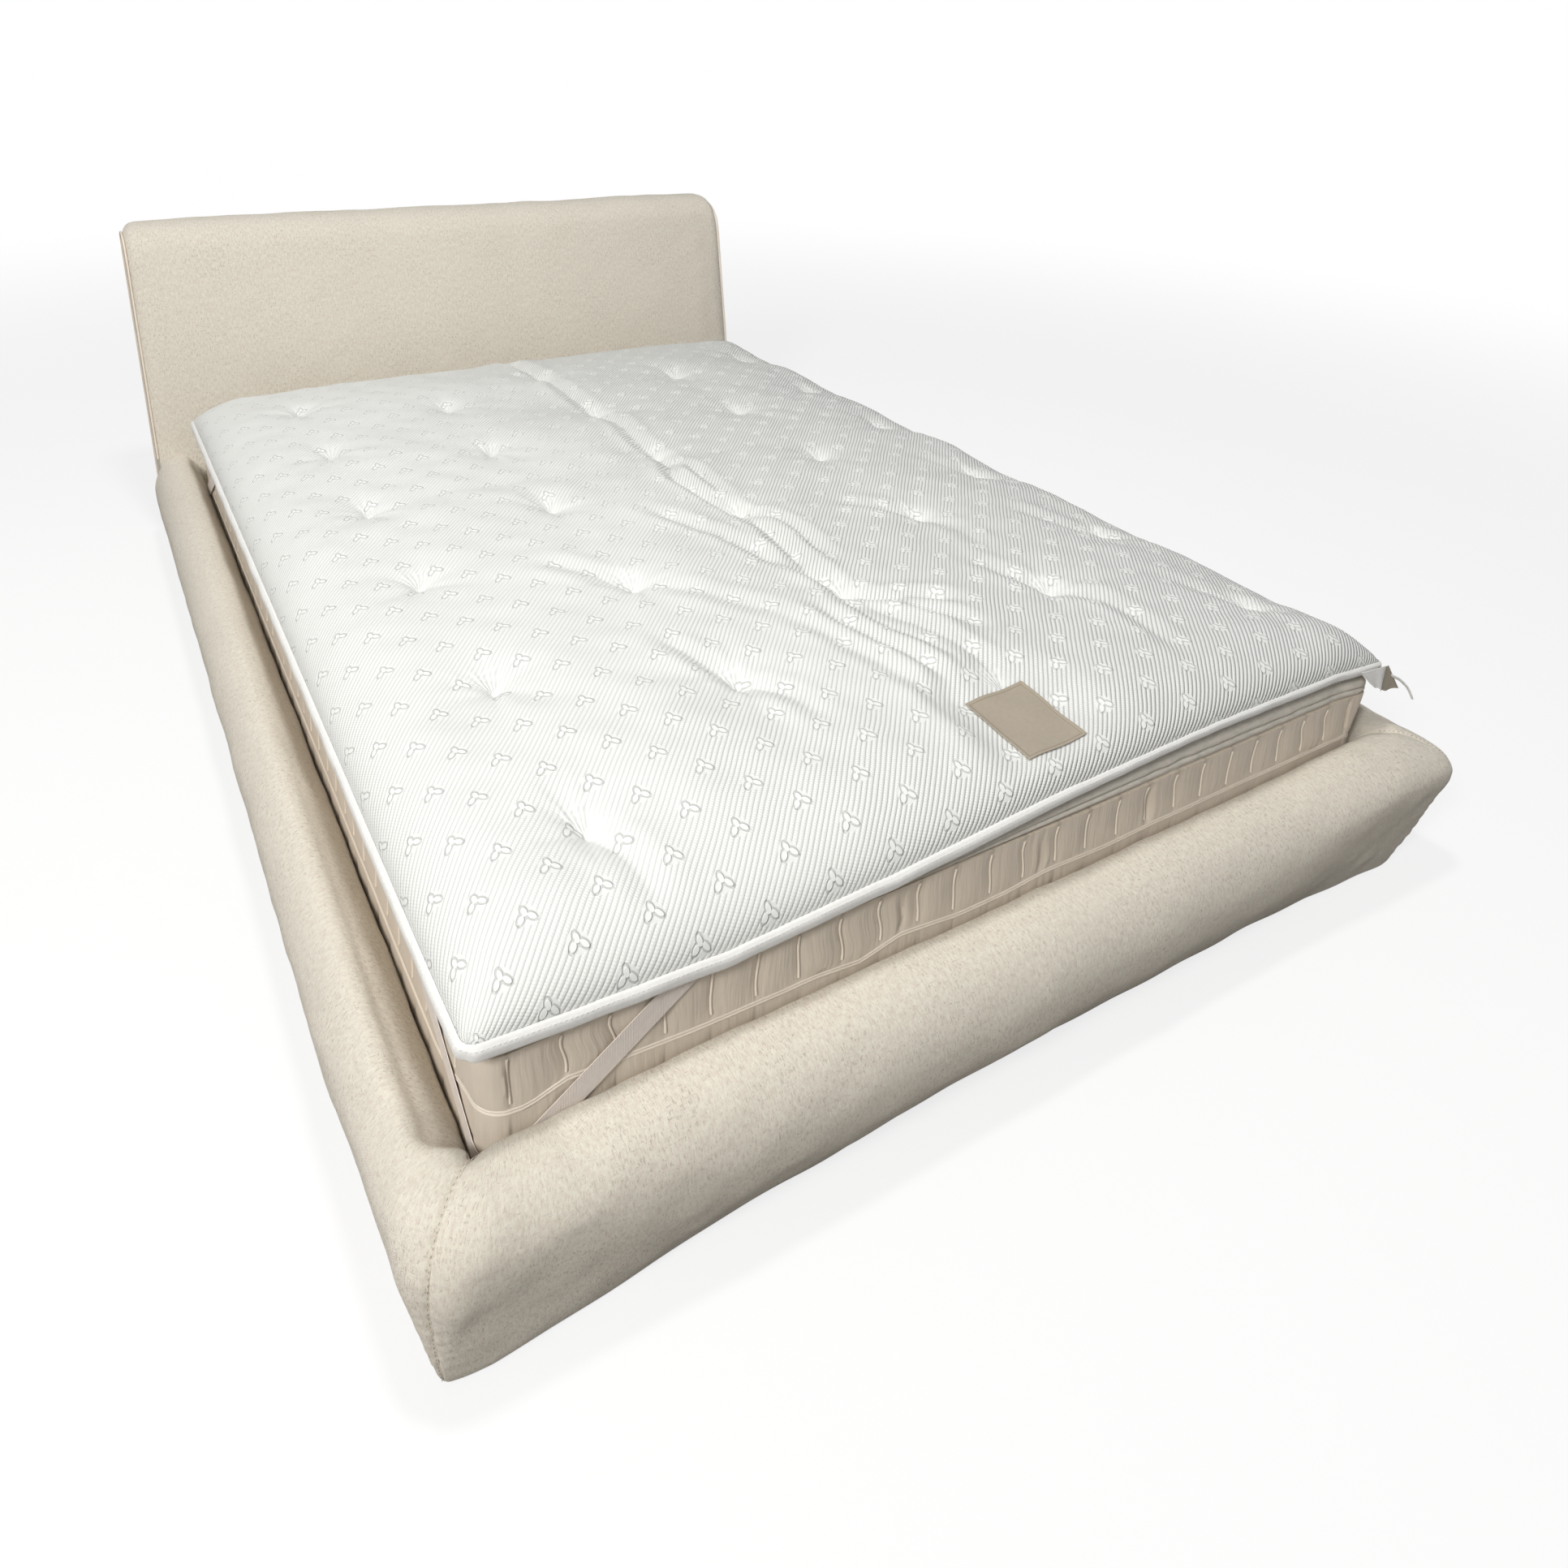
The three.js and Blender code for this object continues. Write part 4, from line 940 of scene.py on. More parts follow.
class Repeats:
    """Geometry Nodes trees for what repeats: stitches and welts along lines, staples at points."""

    @staticmethod
    def tree(name: str, sizes: dict[str, float]) -> tuple[bpy.types.NodeTree, Tree, dict]:
        """Starts a tree with named inputs.

        Args:
            name: The tree's name.
            sizes: Its number inputs and their usual values.

        Returns:
            The tree, its node helper, and its inputs' outputs by name.
        """
        made = bpy.data.node_groups.new(name, "GeometryNodeTree")
        face = made.interface
        face.new_socket("Geometry", in_out="INPUT", socket_type="NodeSocketGeometry")
        face.new_socket("Geometry", in_out="OUTPUT", socket_type="NodeSocketGeometry")
        for size, usual in sizes.items():
            face.new_socket(size, in_out="INPUT", socket_type="NodeSocketFloat").default_value = usual
        face.new_socket("Finish", in_out="INPUT", socket_type="NodeSocketMaterial")
        helper = Tree(made)
        start = made.nodes.new("NodeGroupInput")
        return made, helper, {s.name: s for s in start.outputs if s.name}

    @staticmethod
    def finish_tree(helper: Tree, instances: Socket, finish: Socket) -> None:
        """Ends a tree with real geometry in its finish.

        Args:
            helper: The tree to end.
            instances: What it has laid.
            finish: The material's socket.
        """
        real = helper.node("GeometryNodeRealizeInstances", {}, {"Geometry": instances})
        inputs = {"Geometry": real.outputs[0], "Material": finish}
        dressed = helper.node("GeometryNodeSetMaterial", {}, inputs)
        helper.node("NodeGroupOutput", {}, {"Geometry": dressed.outputs[0]})

    @classmethod
    @cache
    def stitches(cls) -> bpy.types.NodeTree:
        """Gives the tree that lays rounded stitches along a line of edges.

        Returns:
            The node group.
        """
        made, nodes, given = cls.tree("stitch_run", {"Pitch": 0.005, "Length": 0.0035, "Width": 0.0009})
        curve = nodes.node("GeometryNodeMeshToCurve", {}, {"Mesh": given["Geometry"]})
        spaced = nodes.node("GeometryNodeCurveToPoints", {"mode": "LENGTH"},
                            {"Curve": curve.outputs[0], "Length": given["Pitch"]})
        ball = nodes.node("GeometryNodeMeshUVSphere", {}, {"Segments": 6, "Rings": 5, "Radius": 0.5})
        sides = {0: given["Width"], 1: given["Width"], 2: given["Length"]}
        size = nodes.node("ShaderNodeCombineXYZ", {}, sides)
        put = nodes.node("GeometryNodeInstanceOnPoints", {}, {
            "Points": spaced.outputs["Points"], "Instance": ball.outputs["Mesh"],
            "Rotation": spaced.outputs["Rotation"], "Scale": size.outputs[0]})
        cls.finish_tree(nodes, put.outputs[0], given["Finish"])
        return made

    @classmethod
    @cache
    def sweep(cls) -> bpy.types.NodeTree:
        """Gives the tree that runs a closed round cord along each line of edges.

        Returns:
            The node group.
        """
        made, nodes, given = cls.tree("cord_sweep", {"Radius": 0.0015})
        curve = nodes.node("GeometryNodeMeshToCurve", {}, {"Mesh": given["Geometry"]})
        ring = nodes.node("GeometryNodeCurvePrimitiveCircle", {},
                          {"Resolution": 7, "Radius": given["Radius"]})
        cords = nodes.node("GeometryNodeCurveToMesh", {}, {
            "Curve": curve.outputs[0], "Profile Curve": ring.outputs[0], "Fill Caps": True})
        cls.finish_tree(nodes, cords.outputs[0], given["Finish"])
        return made

    @classmethod
    @cache
    def bars(cls) -> bpy.types.NodeTree:
        """Gives the tree that stands a slim rounded bar at each point, turned by its facing mark.

        Returns:
            The node group.
        """
        made, nodes, given = cls.tree("bar_row", {"Length": 0.08, "Width": 0.002, "Depth": 0.002})
        bar = nodes.node("GeometryNodeMeshCylinder", {},
                         {"Vertices": 8, "Side Segments": 1, "Radius": 0.5, "Depth": 1.0})
        facing = nodes.node("GeometryNodeInputNamedAttribute", {"data_type": "FLOAT"}, {"Name": "facing"})
        turn = nodes.node("ShaderNodeCombineXYZ", {}, {2: facing.outputs["Attribute"]})
        sides = {0: given["Width"], 1: given["Depth"], 2: given["Length"]}
        size = nodes.node("ShaderNodeCombineXYZ", {}, sides)
        put = nodes.node("GeometryNodeInstanceOnPoints", {}, {
            "Points": given["Geometry"], "Instance": bar.outputs["Mesh"],
            "Rotation": turn.outputs[0], "Scale": size.outputs[0]})
        cls.finish_tree(nodes, put.outputs[0], given["Finish"])
        return made

    @staticmethod
    def lay(name: str, tree: bpy.types.NodeTree, points: list[Array], sizes: dict[str, float],
            finish: Finish, facing: Array | None = None, lines: bool = True) -> Piece:
        """Runs a tree over lines or points and bakes the result.

        Args:
            name: The piece's name.
            tree: The tree to run.
            points: Lines of points, in the bed's own place.
            sizes: The tree's number inputs by name.
            finish: The finish of the result.
            facing: Turn about Z at each point, for trees that read it.
            lines: Whether the points of each line are joined by edges.

        Returns:
            The baked object.
        """
        mesh = bpy.data.meshes.new(name + "_guide")
        edges, start = [], 0
        for line in points:
            if lines:
                edges += [(start + k, start + k + 1) for k in range(len(line) - 1)]
            start += len(line)
        mesh.from_pydata((np.vstack(points) + [0, FOOT_LINE, 0]).tolist(), edges, [])
        if facing is not None:
            turns = mesh.attributes.new("facing", "FLOAT", "POINT").data
            turns.foreach_set("value", facing.astype(np.float32))
        guide = linked(name + "_guide", mesh)
        live = guide.modifiers.new(name, "NODES")
        live.node_group = tree
        for socket in tree.interface.items_tree:
            if socket.in_out == "INPUT" and socket.name in sizes:
                live[socket.identifier] = sizes[socket.name]
            elif socket.in_out == "INPUT" and socket.name == "Finish":
                live[socket.identifier] = finish.material()
        bpy.context.view_layer.update()
        made = baked(guide, name)
        made.data.shade_smooth()
        return made


def keep(piece: Piece, body: Body, replaced: tuple[str, ...] = ()) -> Piece:
    """Puts a finished piece on its body.

    Args:
        piece: The finished piece.
        body: The body that it rides on.
        replaced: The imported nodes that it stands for.

    Returns:
        The piece.
    """
    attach(piece, body.value)
    if replaced:
        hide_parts(*replaced)
    LOG.info("%s on %s: %d faces", piece.name, body.value, len(piece.data.polygons))
    return piece


# ---------------------------------------------------------------- rails


# The part of a straight rail's section that tapers to the floor
LOWER_SIDE: Rows = (
    (0.0935, 0.104, 0), (0.0805, 0.07, 0), (0.0655, 0.038, 0), (0.052, 0.013, 0), (0.048, 0.005, 0),
)


@dataclass
class RailCovers:
    """The three padded rail covers, from the headboard's face round to the mitres at the foot."""

    inner_x: float = 0.710
    inner_y: float = -0.002
    hem: float = 0.005
    pad_bottom: float = 0.118
    slot_top: float = 0.1703
    slot_inner: float = 0.0117
    slot_outer: float = 0.0343
    gap: float = 0.0003
    tight_radius: float = 0.003
    corner_run: float = 0.08
    blends: tuple[float, float] = (0.30, 0.33)
    headboard_front: float = 2.061
    lean: float = 0.198
    around: int = 100
    pucker_pitch: float = 0.017
    pucker_depth: float = 0.0005
    slope_run: float = 0.045
    near_slope: Rows = (
        (0, 0.118, 0), (-0.007, 0.123, 0), (-0.0094, 0.142, 0), (-0.003, 0.160, 0), (0.010, 0.1785, 0),
        (0.034, 0.2025, 0), (0.0405, 0.2103, 0), (0.047, 0.2148, 0), (0.056, 0.2158, 0), (0.0640, 0.2118, 0),
        (0.0745, 0.2016, 0), (0.0845, 0.1872, 0), (0.0941, 0.1632, 0), (0.098, 0.1361, 0),
    ) + LOWER_SIDE
    far_slope: Rows = (
        (0, 0.118, 0), (-0.007, 0.128, 0), (-0.0094, 0.158, 0), (-0.005, 0.171, 0), (0.005, 0.188, 0),
        (0.010, 0.203, 0), (0.0145, 0.2108, 0), (0.021, 0.2158, 0), (0.040, 0.2175, 0), (0.0560, 0.2125, 0),
        (0.0700, 0.2030, 0), (0.0820, 0.1890, 0), (0.0935, 0.1632, 0), (0.098, 0.1361, 0),
    ) + LOWER_SIDE
    straight: Rows = (
        (0, 0.118, 0), (0, 0.160, 0), (0, 0.2080, 0), (0.0025, 0.2146, 0), (0.0105, 0.2183, 0),
        (0.0245, 0.219, 0), (0.0392, 0.2168, 0), (0.0559, 0.2129, 0), (0.0696, 0.2041, 0),
        (0.0813, 0.1912, 0), (0.0902, 0.175, 0), (0.096, 0.1555, 0), (0.098, 0.1361, 0),
    ) + LOWER_SIDE
    left_corner: Rows = (
        (0, 0.118, 0), (0, 0.158, 0.2), (0, 0.2035, 1), (0.0029, 0.2105, 1), (0.0118, 0.2135, 1),
        (0.0245, 0.2145, 1), (0.0392, 0.2135, 1), (0.0559, 0.2095, 1), (0.0696, 0.201, 1),
        (0.0808, 0.188, 0.97), (0.0875, 0.172, 0.9), (0.0890, 0.152, 0.78), (0.0865, 0.128, 0.64),
        (0.0800, 0.100, 0.48), (0.0735, 0.07, 0.32), (0.0675, 0.038, 0.18), (0.062, 0.013, 0.08),
        (0.0590, 0.004, 0.05),
    )
    right_corner: Rows = (
        (0, 0.118, 0), (0, 0.165, 0.1), (0, 0.210, 0.2), (0.0029, 0.221, 0.2), (0.0118, 0.231, 0.2),
        (0.0245, 0.2355, 0.2), (0.041, 0.2385, 0.2), (0.058, 0.2345, 0.2), (0.079, 0.2235, 0.2),
        (0.0945, 0.2105, 0.2), (0.1035, 0.193, 0.2), (0.1035, 0.172, 0.2), (0.098, 0.150, 0.2),
        (0.090, 0.118, 0.15), (0.082, 0.085, 0.1), (0.074, 0.052, 0.1), (0.065, 0.022, 0.1),
        (0.0595, 0.005, 0.1),
    )
    hem_x: tuple[float, ...] = (-0.77, -0.72, -0.54, -0.335, -0.084, 0.207, 0.374, 0.567, 0.762, 0.77)
    hem_out: tuple[float, ...] = (0.0, 0.004, 0.0, -0.003, -0.010, -0.006, -0.003, -0.006, 0.002, 0.0)

    def slot_points(self) -> list[Triple]:
        """Gives the section of the slot that takes the rail's board."""
        return [(self.slot_outer, self.hem, 0), (self.slot_outer, self.slot_top, 0),
                (self.slot_inner, self.slot_top, 0), (self.slot_inner, self.pad_bottom, 0)]

    def section(self, points: Rows | None = None) -> Array:
        """Gives a section: width from the inner face, height, and share of the corner's rounding."""
        return np.vstack([spline(points or self.straight, self.around, 2), self.slot_points()])

    def corner(self, side: int, shares: Array) -> tuple[Array, ...]:
        """Runs every section point round a foot corner as far as the mitre.

        Args:
            side: 0 for the left corner and 1 for the right.
            shares: Places along the run, from 0 before the corner to 1 at the mitre.

        Returns:
            Distance across the rail, distance along it past the inner corner, height, and the
            length still to go to the mitre, each for every share and section point.
        """
        end = self.section((self.left_corner, self.right_corner)[side])
        width, _, rounding = end.T
        radius = np.maximum(self.tight_radius, width * rounding)
        straight = self.corner_run + width - radius
        total = straight + radius * math.pi / 4
        run = shares[:, None] * total
        turn = np.clip((run - straight) / radius, 0, math.pi / 4)
        along = np.where(run < straight, run - self.corner_run, width - radius + radius * np.sin(turn))
        narrow, height = self.blended(side, along)
        across = np.where(run < straight, narrow, width - radius + radius * np.cos(turn))
        return across, along, height, total - run

    def blended(self, side: int, along: Array) -> tuple[Array, Array]:
        """Gives the widths and heights of the section on its way from the straight to a corner.

        Args:
            side: 0 for the left corner and 1 for the right.
            along: Distance past the inner corner, negative on the straight.

        Returns:
            Distance across the rail and height, for every place and section point.
        """
        start, end = self.section(), self.section((self.left_corner, self.right_corner)[side])
        near = (1 + np.cos(math.pi * np.clip(-along / self.blends[side], 0, 1))) / 2
        return start[:, 0] + (end[:, 0] - start[:, 0]) * near, start[:, 1] + (end[:, 1] - start[:, 1]) * near

    def corner_shares(self) -> Array:
        """Gives the places of the rings round a corner, closest together at the mitre."""
        return 1 - (1 - np.linspace(0, 1, 34)) ** 1.8

    def soften(self, rings: Array, run: Array, to_seam: Array, seed: int) -> Array:
        """Gives the cloth its slack, its seam and its uneven hem.

        Args:
            rings: The cover's points, rings by section points.
            run: Length along the rail at each ring.
            to_seam: Distance of each point from the nearest mitre seam.
            seed: Seed of the unevenness.

        Returns:
            The changed points.
        """
        count = self.around
        soft = rings[:, :count]
        around = lengths(self.section()[:count, :2])
        u, v = np.meshgrid(run, around, indexing="ij")
        normal = normals_of(soft)
        outward = np.sign(np.nansum(normal[:, count // 2, 2])) or 1.0
        free = smooth(np.minimum(v, around[-1] - v), 0.0, 0.03)
        slack = 0.0007 * ripple(u, v, 0.22, seed) + 0.0005 * ripple(u, v, 0.06, seed + 1)
        gap = to_seam[:, :count]
        seam = 0.0032 * np.exp(-(gap / 0.0035) ** 2) + 0.0022 * np.exp(-(gap / 0.016) ** 2)
        low = smooth(v, around[-1] * 0.55, around[-1] * 0.75)
        beat = v * 2 * math.pi / self.pucker_pitch + 2 * ripple(u, v, 0.05, seed + 2)
        pucker = self.pucker_depth * np.cos(beat) * np.exp(-(gap / 0.022) ** 2)
        push = (slack - pucker * (0.35 + low)) * free - seam * smooth(v, 0, 0.03)
        moved = soft + (normal * outward) * push[..., None]
        hem = smooth(v, around[-1] - 0.05, around[-1])
        moved[..., 2] += hem * (0.0016 * ripple(u, v * 0, 0.16, seed + 3) + 0.0004)
        return np.concatenate([moved, rings[:, count:]], axis=1)

    def mesh(self, name: str, rings: Array, run: Array, to_seam: Array, seed: int) -> Piece:
        """Closes the rings into a cover and returns its object.

        Args:
            name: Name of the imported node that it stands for.
            rings: The cover's points, rings by section points.
            run: Length along the rail at each ring.
            to_seam: Distance of each point from the nearest mitre seam.
            seed: Seed of the unevenness.

        Returns:
            The new object.
        """
        rings = self.soften(rings, run, to_seam, seed)
        maker = Maker()
        index = maker.add(rings)
        maker.grid(np.hstack([index, index[:, :1]]), crossings(run, loop_lengths(self.section()[:, :2])))
        maker.cap(index[0][::-1], (0, 2))
        maker.cap(index[-1], (0, 2))
        piece = maker.build(name + "_cloth", COVER, 50)
        keep(piece, Body.FRAME, (name,))
        return piece

    def side_cover(self, side: int) -> Piece:
        """Builds the left (0) or right (1) cover.

        Args:
            side: Which side it is on.

        Returns:
            The new object.
        """
        sign = (-1, 1)[side]
        z = self.section()[:, 1]
        head = self.headboard_front + self.lean * z - self.inner_y - self.gap
        reach = self.blends[side]
        far = np.linspace(1, 0, 90)[:, None]
        near = -np.linspace(reach, self.corner_run, 24)[1:-1, None] * np.ones(len(z))
        straight = np.vstack([-(reach + far * (head - reach)), near])
        across, along, height, togo = self.corner(side, self.corner_shares())
        bend = len(straight)
        straight = np.vstack([straight, np.minimum(along, 0)])
        width, level = self.blended(side, straight)
        far_share = smooth(-straight, 0.1, 1.9)[..., None]
        slope = self.section(self.near_slope) * (1 - far_share) + self.section(self.far_slope) * far_share
        away = (1 - np.cos(math.pi * np.clip(-straight / self.slope_run, 0, 1)))[..., None] / 2
        change = (slope - self.section()) * away
        width, level = width + change[..., 0], level + change[..., 1]
        q = np.vstack([straight[:bend], along])
        p = np.vstack([width[:bend], across + change[bend:, :, 0]])
        heights = np.vstack([level[:bend], height + change[bend:, :, 1]])
        y = self.inner_y - q + self.gap / math.sqrt(2) * (q > 0)
        rings = np.stack([sign * (self.inner_x + p), y, heights], -1)
        run = lengths(rings[:, self.around // 2])
        to_seam = np.vstack([togo[:1] - straight[:bend] - self.corner_run, togo])
        return self.mesh(("rail_cover_left", "rail_cover_right")[side], rings, run, to_seam, 11 + side * 7)

    def foot_cover(self) -> Piece:
        """Builds the cover across the foot, from mitre to mitre.

        Returns:
            The new object.
        """
        ends = []
        for side, sign in enumerate((-1, 1)):
            across, along, height, togo = self.corner(side, self.corner_shares()[::-1])
            near = -np.linspace(self.corner_run, self.blends[side], 24)[1:, None] * np.ones(along.shape[1])
            width, level = self.blended(side, near)
            q = np.vstack([along, near])
            p = np.vstack([across, width])
            x = sign * (self.inner_x + q - self.gap / math.sqrt(2) * (q > 0))
            seam = np.vstack([togo, togo[-1:] - near - self.corner_run])
            ends.append((np.stack([x, self.inner_y - p, np.vstack([height, level])], -1), seam))
        left, right = ends[0], (ends[1][0][::-1], ends[1][1][::-1])
        share = np.linspace(0, 1, 46)[1:-1, None, None]
        middle = left[0][-1] * (1 - share) + right[0][0] * share
        rings = np.vstack([left[0], middle, right[0]])
        low = smooth(rings[:, :self.around, 2], 0.09, 0.0)
        rings[:, :self.around, 1] -= low * np.interp(rings[:, :self.around, 0], self.hem_x, self.hem_out)
        run = lengths(rings[:, self.around // 2])
        to_seam = np.vstack([left[1], np.full((len(middle), rings.shape[1]), 1.0), right[1]])
        return self.mesh("rail_cover_foot", rings, run, to_seam, 31)

    def seam_line(self, side: int, low: float, high: float) -> Array:
        """Gives the mitre seam between two shares of the section, a little proud of the cloth.

        Args:
            side: Left (0) or right (1) mitre.
            low: Share of the section where it starts.
            high: Share of the section where it ends.

        Returns:
            Points along the seam.
        """
        across, along, height, _ = self.corner(side, np.array([1.0]))
        x = (-1, 1)[side] * (self.inner_x + across[0])
        points = np.stack([x, self.inner_y - along[0], height[0]], -1)
        return points[int(low * self.around):int(high * self.around)]

    def build(self) -> None:
        """Builds the covers and the stitches of their mitre seams."""
        self.side_cover(0)
        self.side_cover(1)
        self.foot_cover()
        for side, name in enumerate(("left", "right")):
            line = self.seam_line(side, 0.3, 0.97) - [0, 0, 0.001]
            offset = np.array([-(-1, 1)[side], 1, 0]) * 0.0022
            piece = Repeats.lay(f"rail_seam_stitches_{name}", Repeats.stitches(), [line + offset],
                                {"Pitch": 0.0065, "Length": 0.003, "Width": 0.0009}, SEAM_THREAD)
            keep(piece, Body.FRAME)


# ---------------------------------------------------------------- headboard


@dataclass
class Headboard:
    """The leaning padded headboard, its piping and the lining on its back."""

    front: float = 2.061
    half: float = 0.787
    height: float = 0.755
    thickness: float = 0.130
    lean: float = 0.198
    hem: float = 0.005
    front_radius: float = 0.062
    back_radius: float = 0.036
    front_tuck: float = 0.010
    end_tuck: float = 0.026
    swell: float = 0.012
    side_wall: float = 0.032
    top_wall: float = 0.062
    foam: float = 0.060
    post_offset: float = 0.650
    spacer_width: float = 0.0626
    spacer_top: float = 0.0963
    piping_radius: float = 0.0045
    piping_start: float = 0.228
    lining_front: float = 0.1239
    lining_thickness: float = 0.0015
    floor_gap: float = 0.012

    def profile(self, tuck: float, top_tuck: float, swell: float) -> Array:
        """Gives the side outline from the front hem over the top to the back hem, before the lean.

        Args:
            tuck: How far the front is drawn in.
            top_tuck: How far the top is drawn in.
            swell: How far the front stands out between the rails and the top.

        Returns:
            Distances back and heights, evenly spaced.
        """
        top = self.height - top_tuck
        back = self.thickness - tuck / 2
        points = [(tuck, z) for z in (self.hem, 0.06, 0.12, 0.18, 0.221)]
        for share in (0.25, 0.5, 0.75):
            z = self.piping_start + (top - self.front_radius - self.piping_start) * share
            points.append((tuck - swell * math.sin(math.pi * share), z))
        front_turn, back_turn = np.linspace(math.pi, math.pi / 2, 6), np.linspace(math.pi / 2, 0, 5)
        for cy, r, angles in ((tuck + self.front_radius, self.front_radius, front_turn),
                              (back - self.back_radius, self.back_radius, back_turn)):
            points += [(cy + r * math.cos(a), top - r + r * math.sin(a)) for a in angles]
        points += [(back, z) for z in (0.55, 0.35, 0.15, self.hem)]
        return spline(points, 110, 2)

    def leaned(self, x: Array, back: Array, z: Array) -> Array:
        """Places points of the upright headboard on the leaning one."""
        return np.stack(np.broadcast_arrays(x, self.front + back + self.lean * z, z), -1)

    def shell(self) -> Maker:
        """Builds the closed outer skin.

        Returns:
            The mesh so far.
        """
        end = 1 - (1 - np.linspace(0, 1, 26)) ** 2
        left = -1 + 0.16 * (1 - end[::-1])
        shares = np.concatenate([left, np.linspace(-0.84, 0.84, 60)[1:-1], -left[::-1]])
        edge = (1 - np.abs(shares)) * self.half
        tuck = np.interp(edge, [0, 0.003, 0.008, 0.016, 0.028, 0.08], [1, 0.72, 0.42, 0.2, 0.08, 0])
        swell = np.interp(edge, [0, 0.03, 0.08, 0.25], [0.1, 0.5, 0.85, 1.0])
        rings = []
        for share, t, s in zip(shares, tuck, swell):
            back, z = self.profile(self.front_tuck * t, self.end_tuck * t, self.swell * s).T
            rings.append(self.leaned(np.full(len(z), share * self.half), back, z))
        rings = np.stack(rings)
        around = lengths(rings[len(rings) // 2])
        u, v = np.meshgrid(shares * self.half, around, indexing="ij")
        free = smooth(np.minimum(v, around[-1] - v), 0.02, 0.12) * smooth(edge, 0, 0.05)[:, None]
        slack = 0.0016 * ripple(u, v, 0.3, 5) + 0.0006 * ripple(u, v, 0.09, 6)
        rings += normals_of(rings) * (-slack * free)[..., None]
        maker = Maker()
        index = maker.add(rings)
        maker.grid(index, np.stack([u, v], -1))
        self.boxing(maker, index[0], rings[0], -1)
        self.boxing(maker, index[-1][::-1], rings[-1][::-1], 1)
        bottom = np.stack([index[:, 0], index[:, -1]], 1)
        maker.grid(bottom, np.stack([np.stack([shares * self.half, 0 * shares], -1),
                                     np.stack([shares * self.half, 0 * shares + self.thickness], -1)], 1))
        return maker

    def boxing(self, maker: Maker, ring: Array, points: Array, sign: int) -> None:
        """Closes an end with a slightly full side panel.

        Args:
            maker: The mesh it is added to.
            ring: Indices of the end's loop.
            points: Points of that loop.
            sign: -1 on the left, 1 on the right.
        """
        count = len(ring) // 2
        near, far = ring[:count], ring[::-1][:count]
        a, b = points[:count], points[::-1][:count]
        share = np.linspace(0, 1, 9)[1:-1]
        mid = a[:, None] * (1 - share)[None, :, None] + b[:, None] * share[None, :, None]
        full = np.sin(math.pi * share)[None, :] * smooth(np.arange(count - 1, -1, -1), 0, 12)[:, None]
        mid[..., 0] += sign * 0.004 * full
        inner = maker.add(mid)
        index = np.hstack([near[:, None], inner, far[:, None]])
        sheet = np.concatenate([a[:, None], mid, b[:, None]], axis=1)
        maker.grid(index, sheet[..., [1, 2]])

    def box(self, low: Triple, high: Triple) -> Piece:
        """Makes a leaning box to cut with.

        Args:
            low: Its lowest corner before it leans.
            high: Its highest corner.

        Returns:
            The new object.
        """
        maker = Maker()
        ends = []
        for x in (low[0], high[0]):
            back = np.array([low[1], high[1], high[1], low[1]])
            z = np.array([low[2], low[2], high[2], high[2]])
            ends.append(self.leaned(np.full(4, x), back, z))
        index = maker.add(np.stack(ends))
        wrapped = np.hstack([index, index[:, :1]])
        maker.grid(wrapped, np.zeros((2, 5, 2)))
        maker.cap(index[0][::-1], (1, 2))
        maker.cap(index[1], (1, 2))
        return maker.build("cutter", COVER)

    def pad(self) -> Piece:
        """Builds the pad with the pocket for its panel and posts.

        Returns:
            The new object.
        """
        whole = self.shell().build("headboard_whole", COVER, 40)
        pocket = self.half - self.side_wall
        cutters = [self.box((-pocket, self.foam, -0.01), (pocket, 0.2, self.height - self.top_wall))]
        for x in (-self.post_offset, self.post_offset):
            cutters.append(self.box((x - self.spacer_width / 2, -0.05, -0.01),
                                    (x + self.spacer_width / 2, self.foam + 0.005, self.spacer_top)))
        for cutter in cutters:
            live = whole.modifiers.new("pocket", "BOOLEAN")
            live.object, live.operation, live.solver = cutter, "DIFFERENCE", "EXACT"
        piece = baked(whole, "headboard_cushion")
        for cutter in cutters:
            bpy.data.objects.remove(cutter)
        piece.data.set_sharp_from_angle(angle=math.radians(40))
        keep(piece, Body.FRAME, ("headboard_pad",))
        return piece

    def piping(self, sign: int, name: str) -> Piece:
        """Builds the cord sewn round one end.

        Args:
            sign: -1 on the left, 1 on the right.
            name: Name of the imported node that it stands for.

        Returns:
            The new object.
        """
        reach = self.piping_radius * 0.3
        back, z = self.profile(self.front_tuck - reach, self.end_tuck - reach, 0.0).T
        kept = z > 0.012
        kept[:len(z) // 2] &= z[:len(z) // 2] > self.piping_start - 0.02
        radius = self.piping_radius * 0.55
        path = self.leaned(np.full(kept.sum(), sign * (self.half + 0.0006 + radius)), back[kept], z[kept])
        maker = Maker()
        tube(maker, spline(path, 260), radius, 10, up=(1, 0, 0))
        piece = maker.build(name + "_cord", WELT)
        return keep(piece, Body.FRAME, (name,))

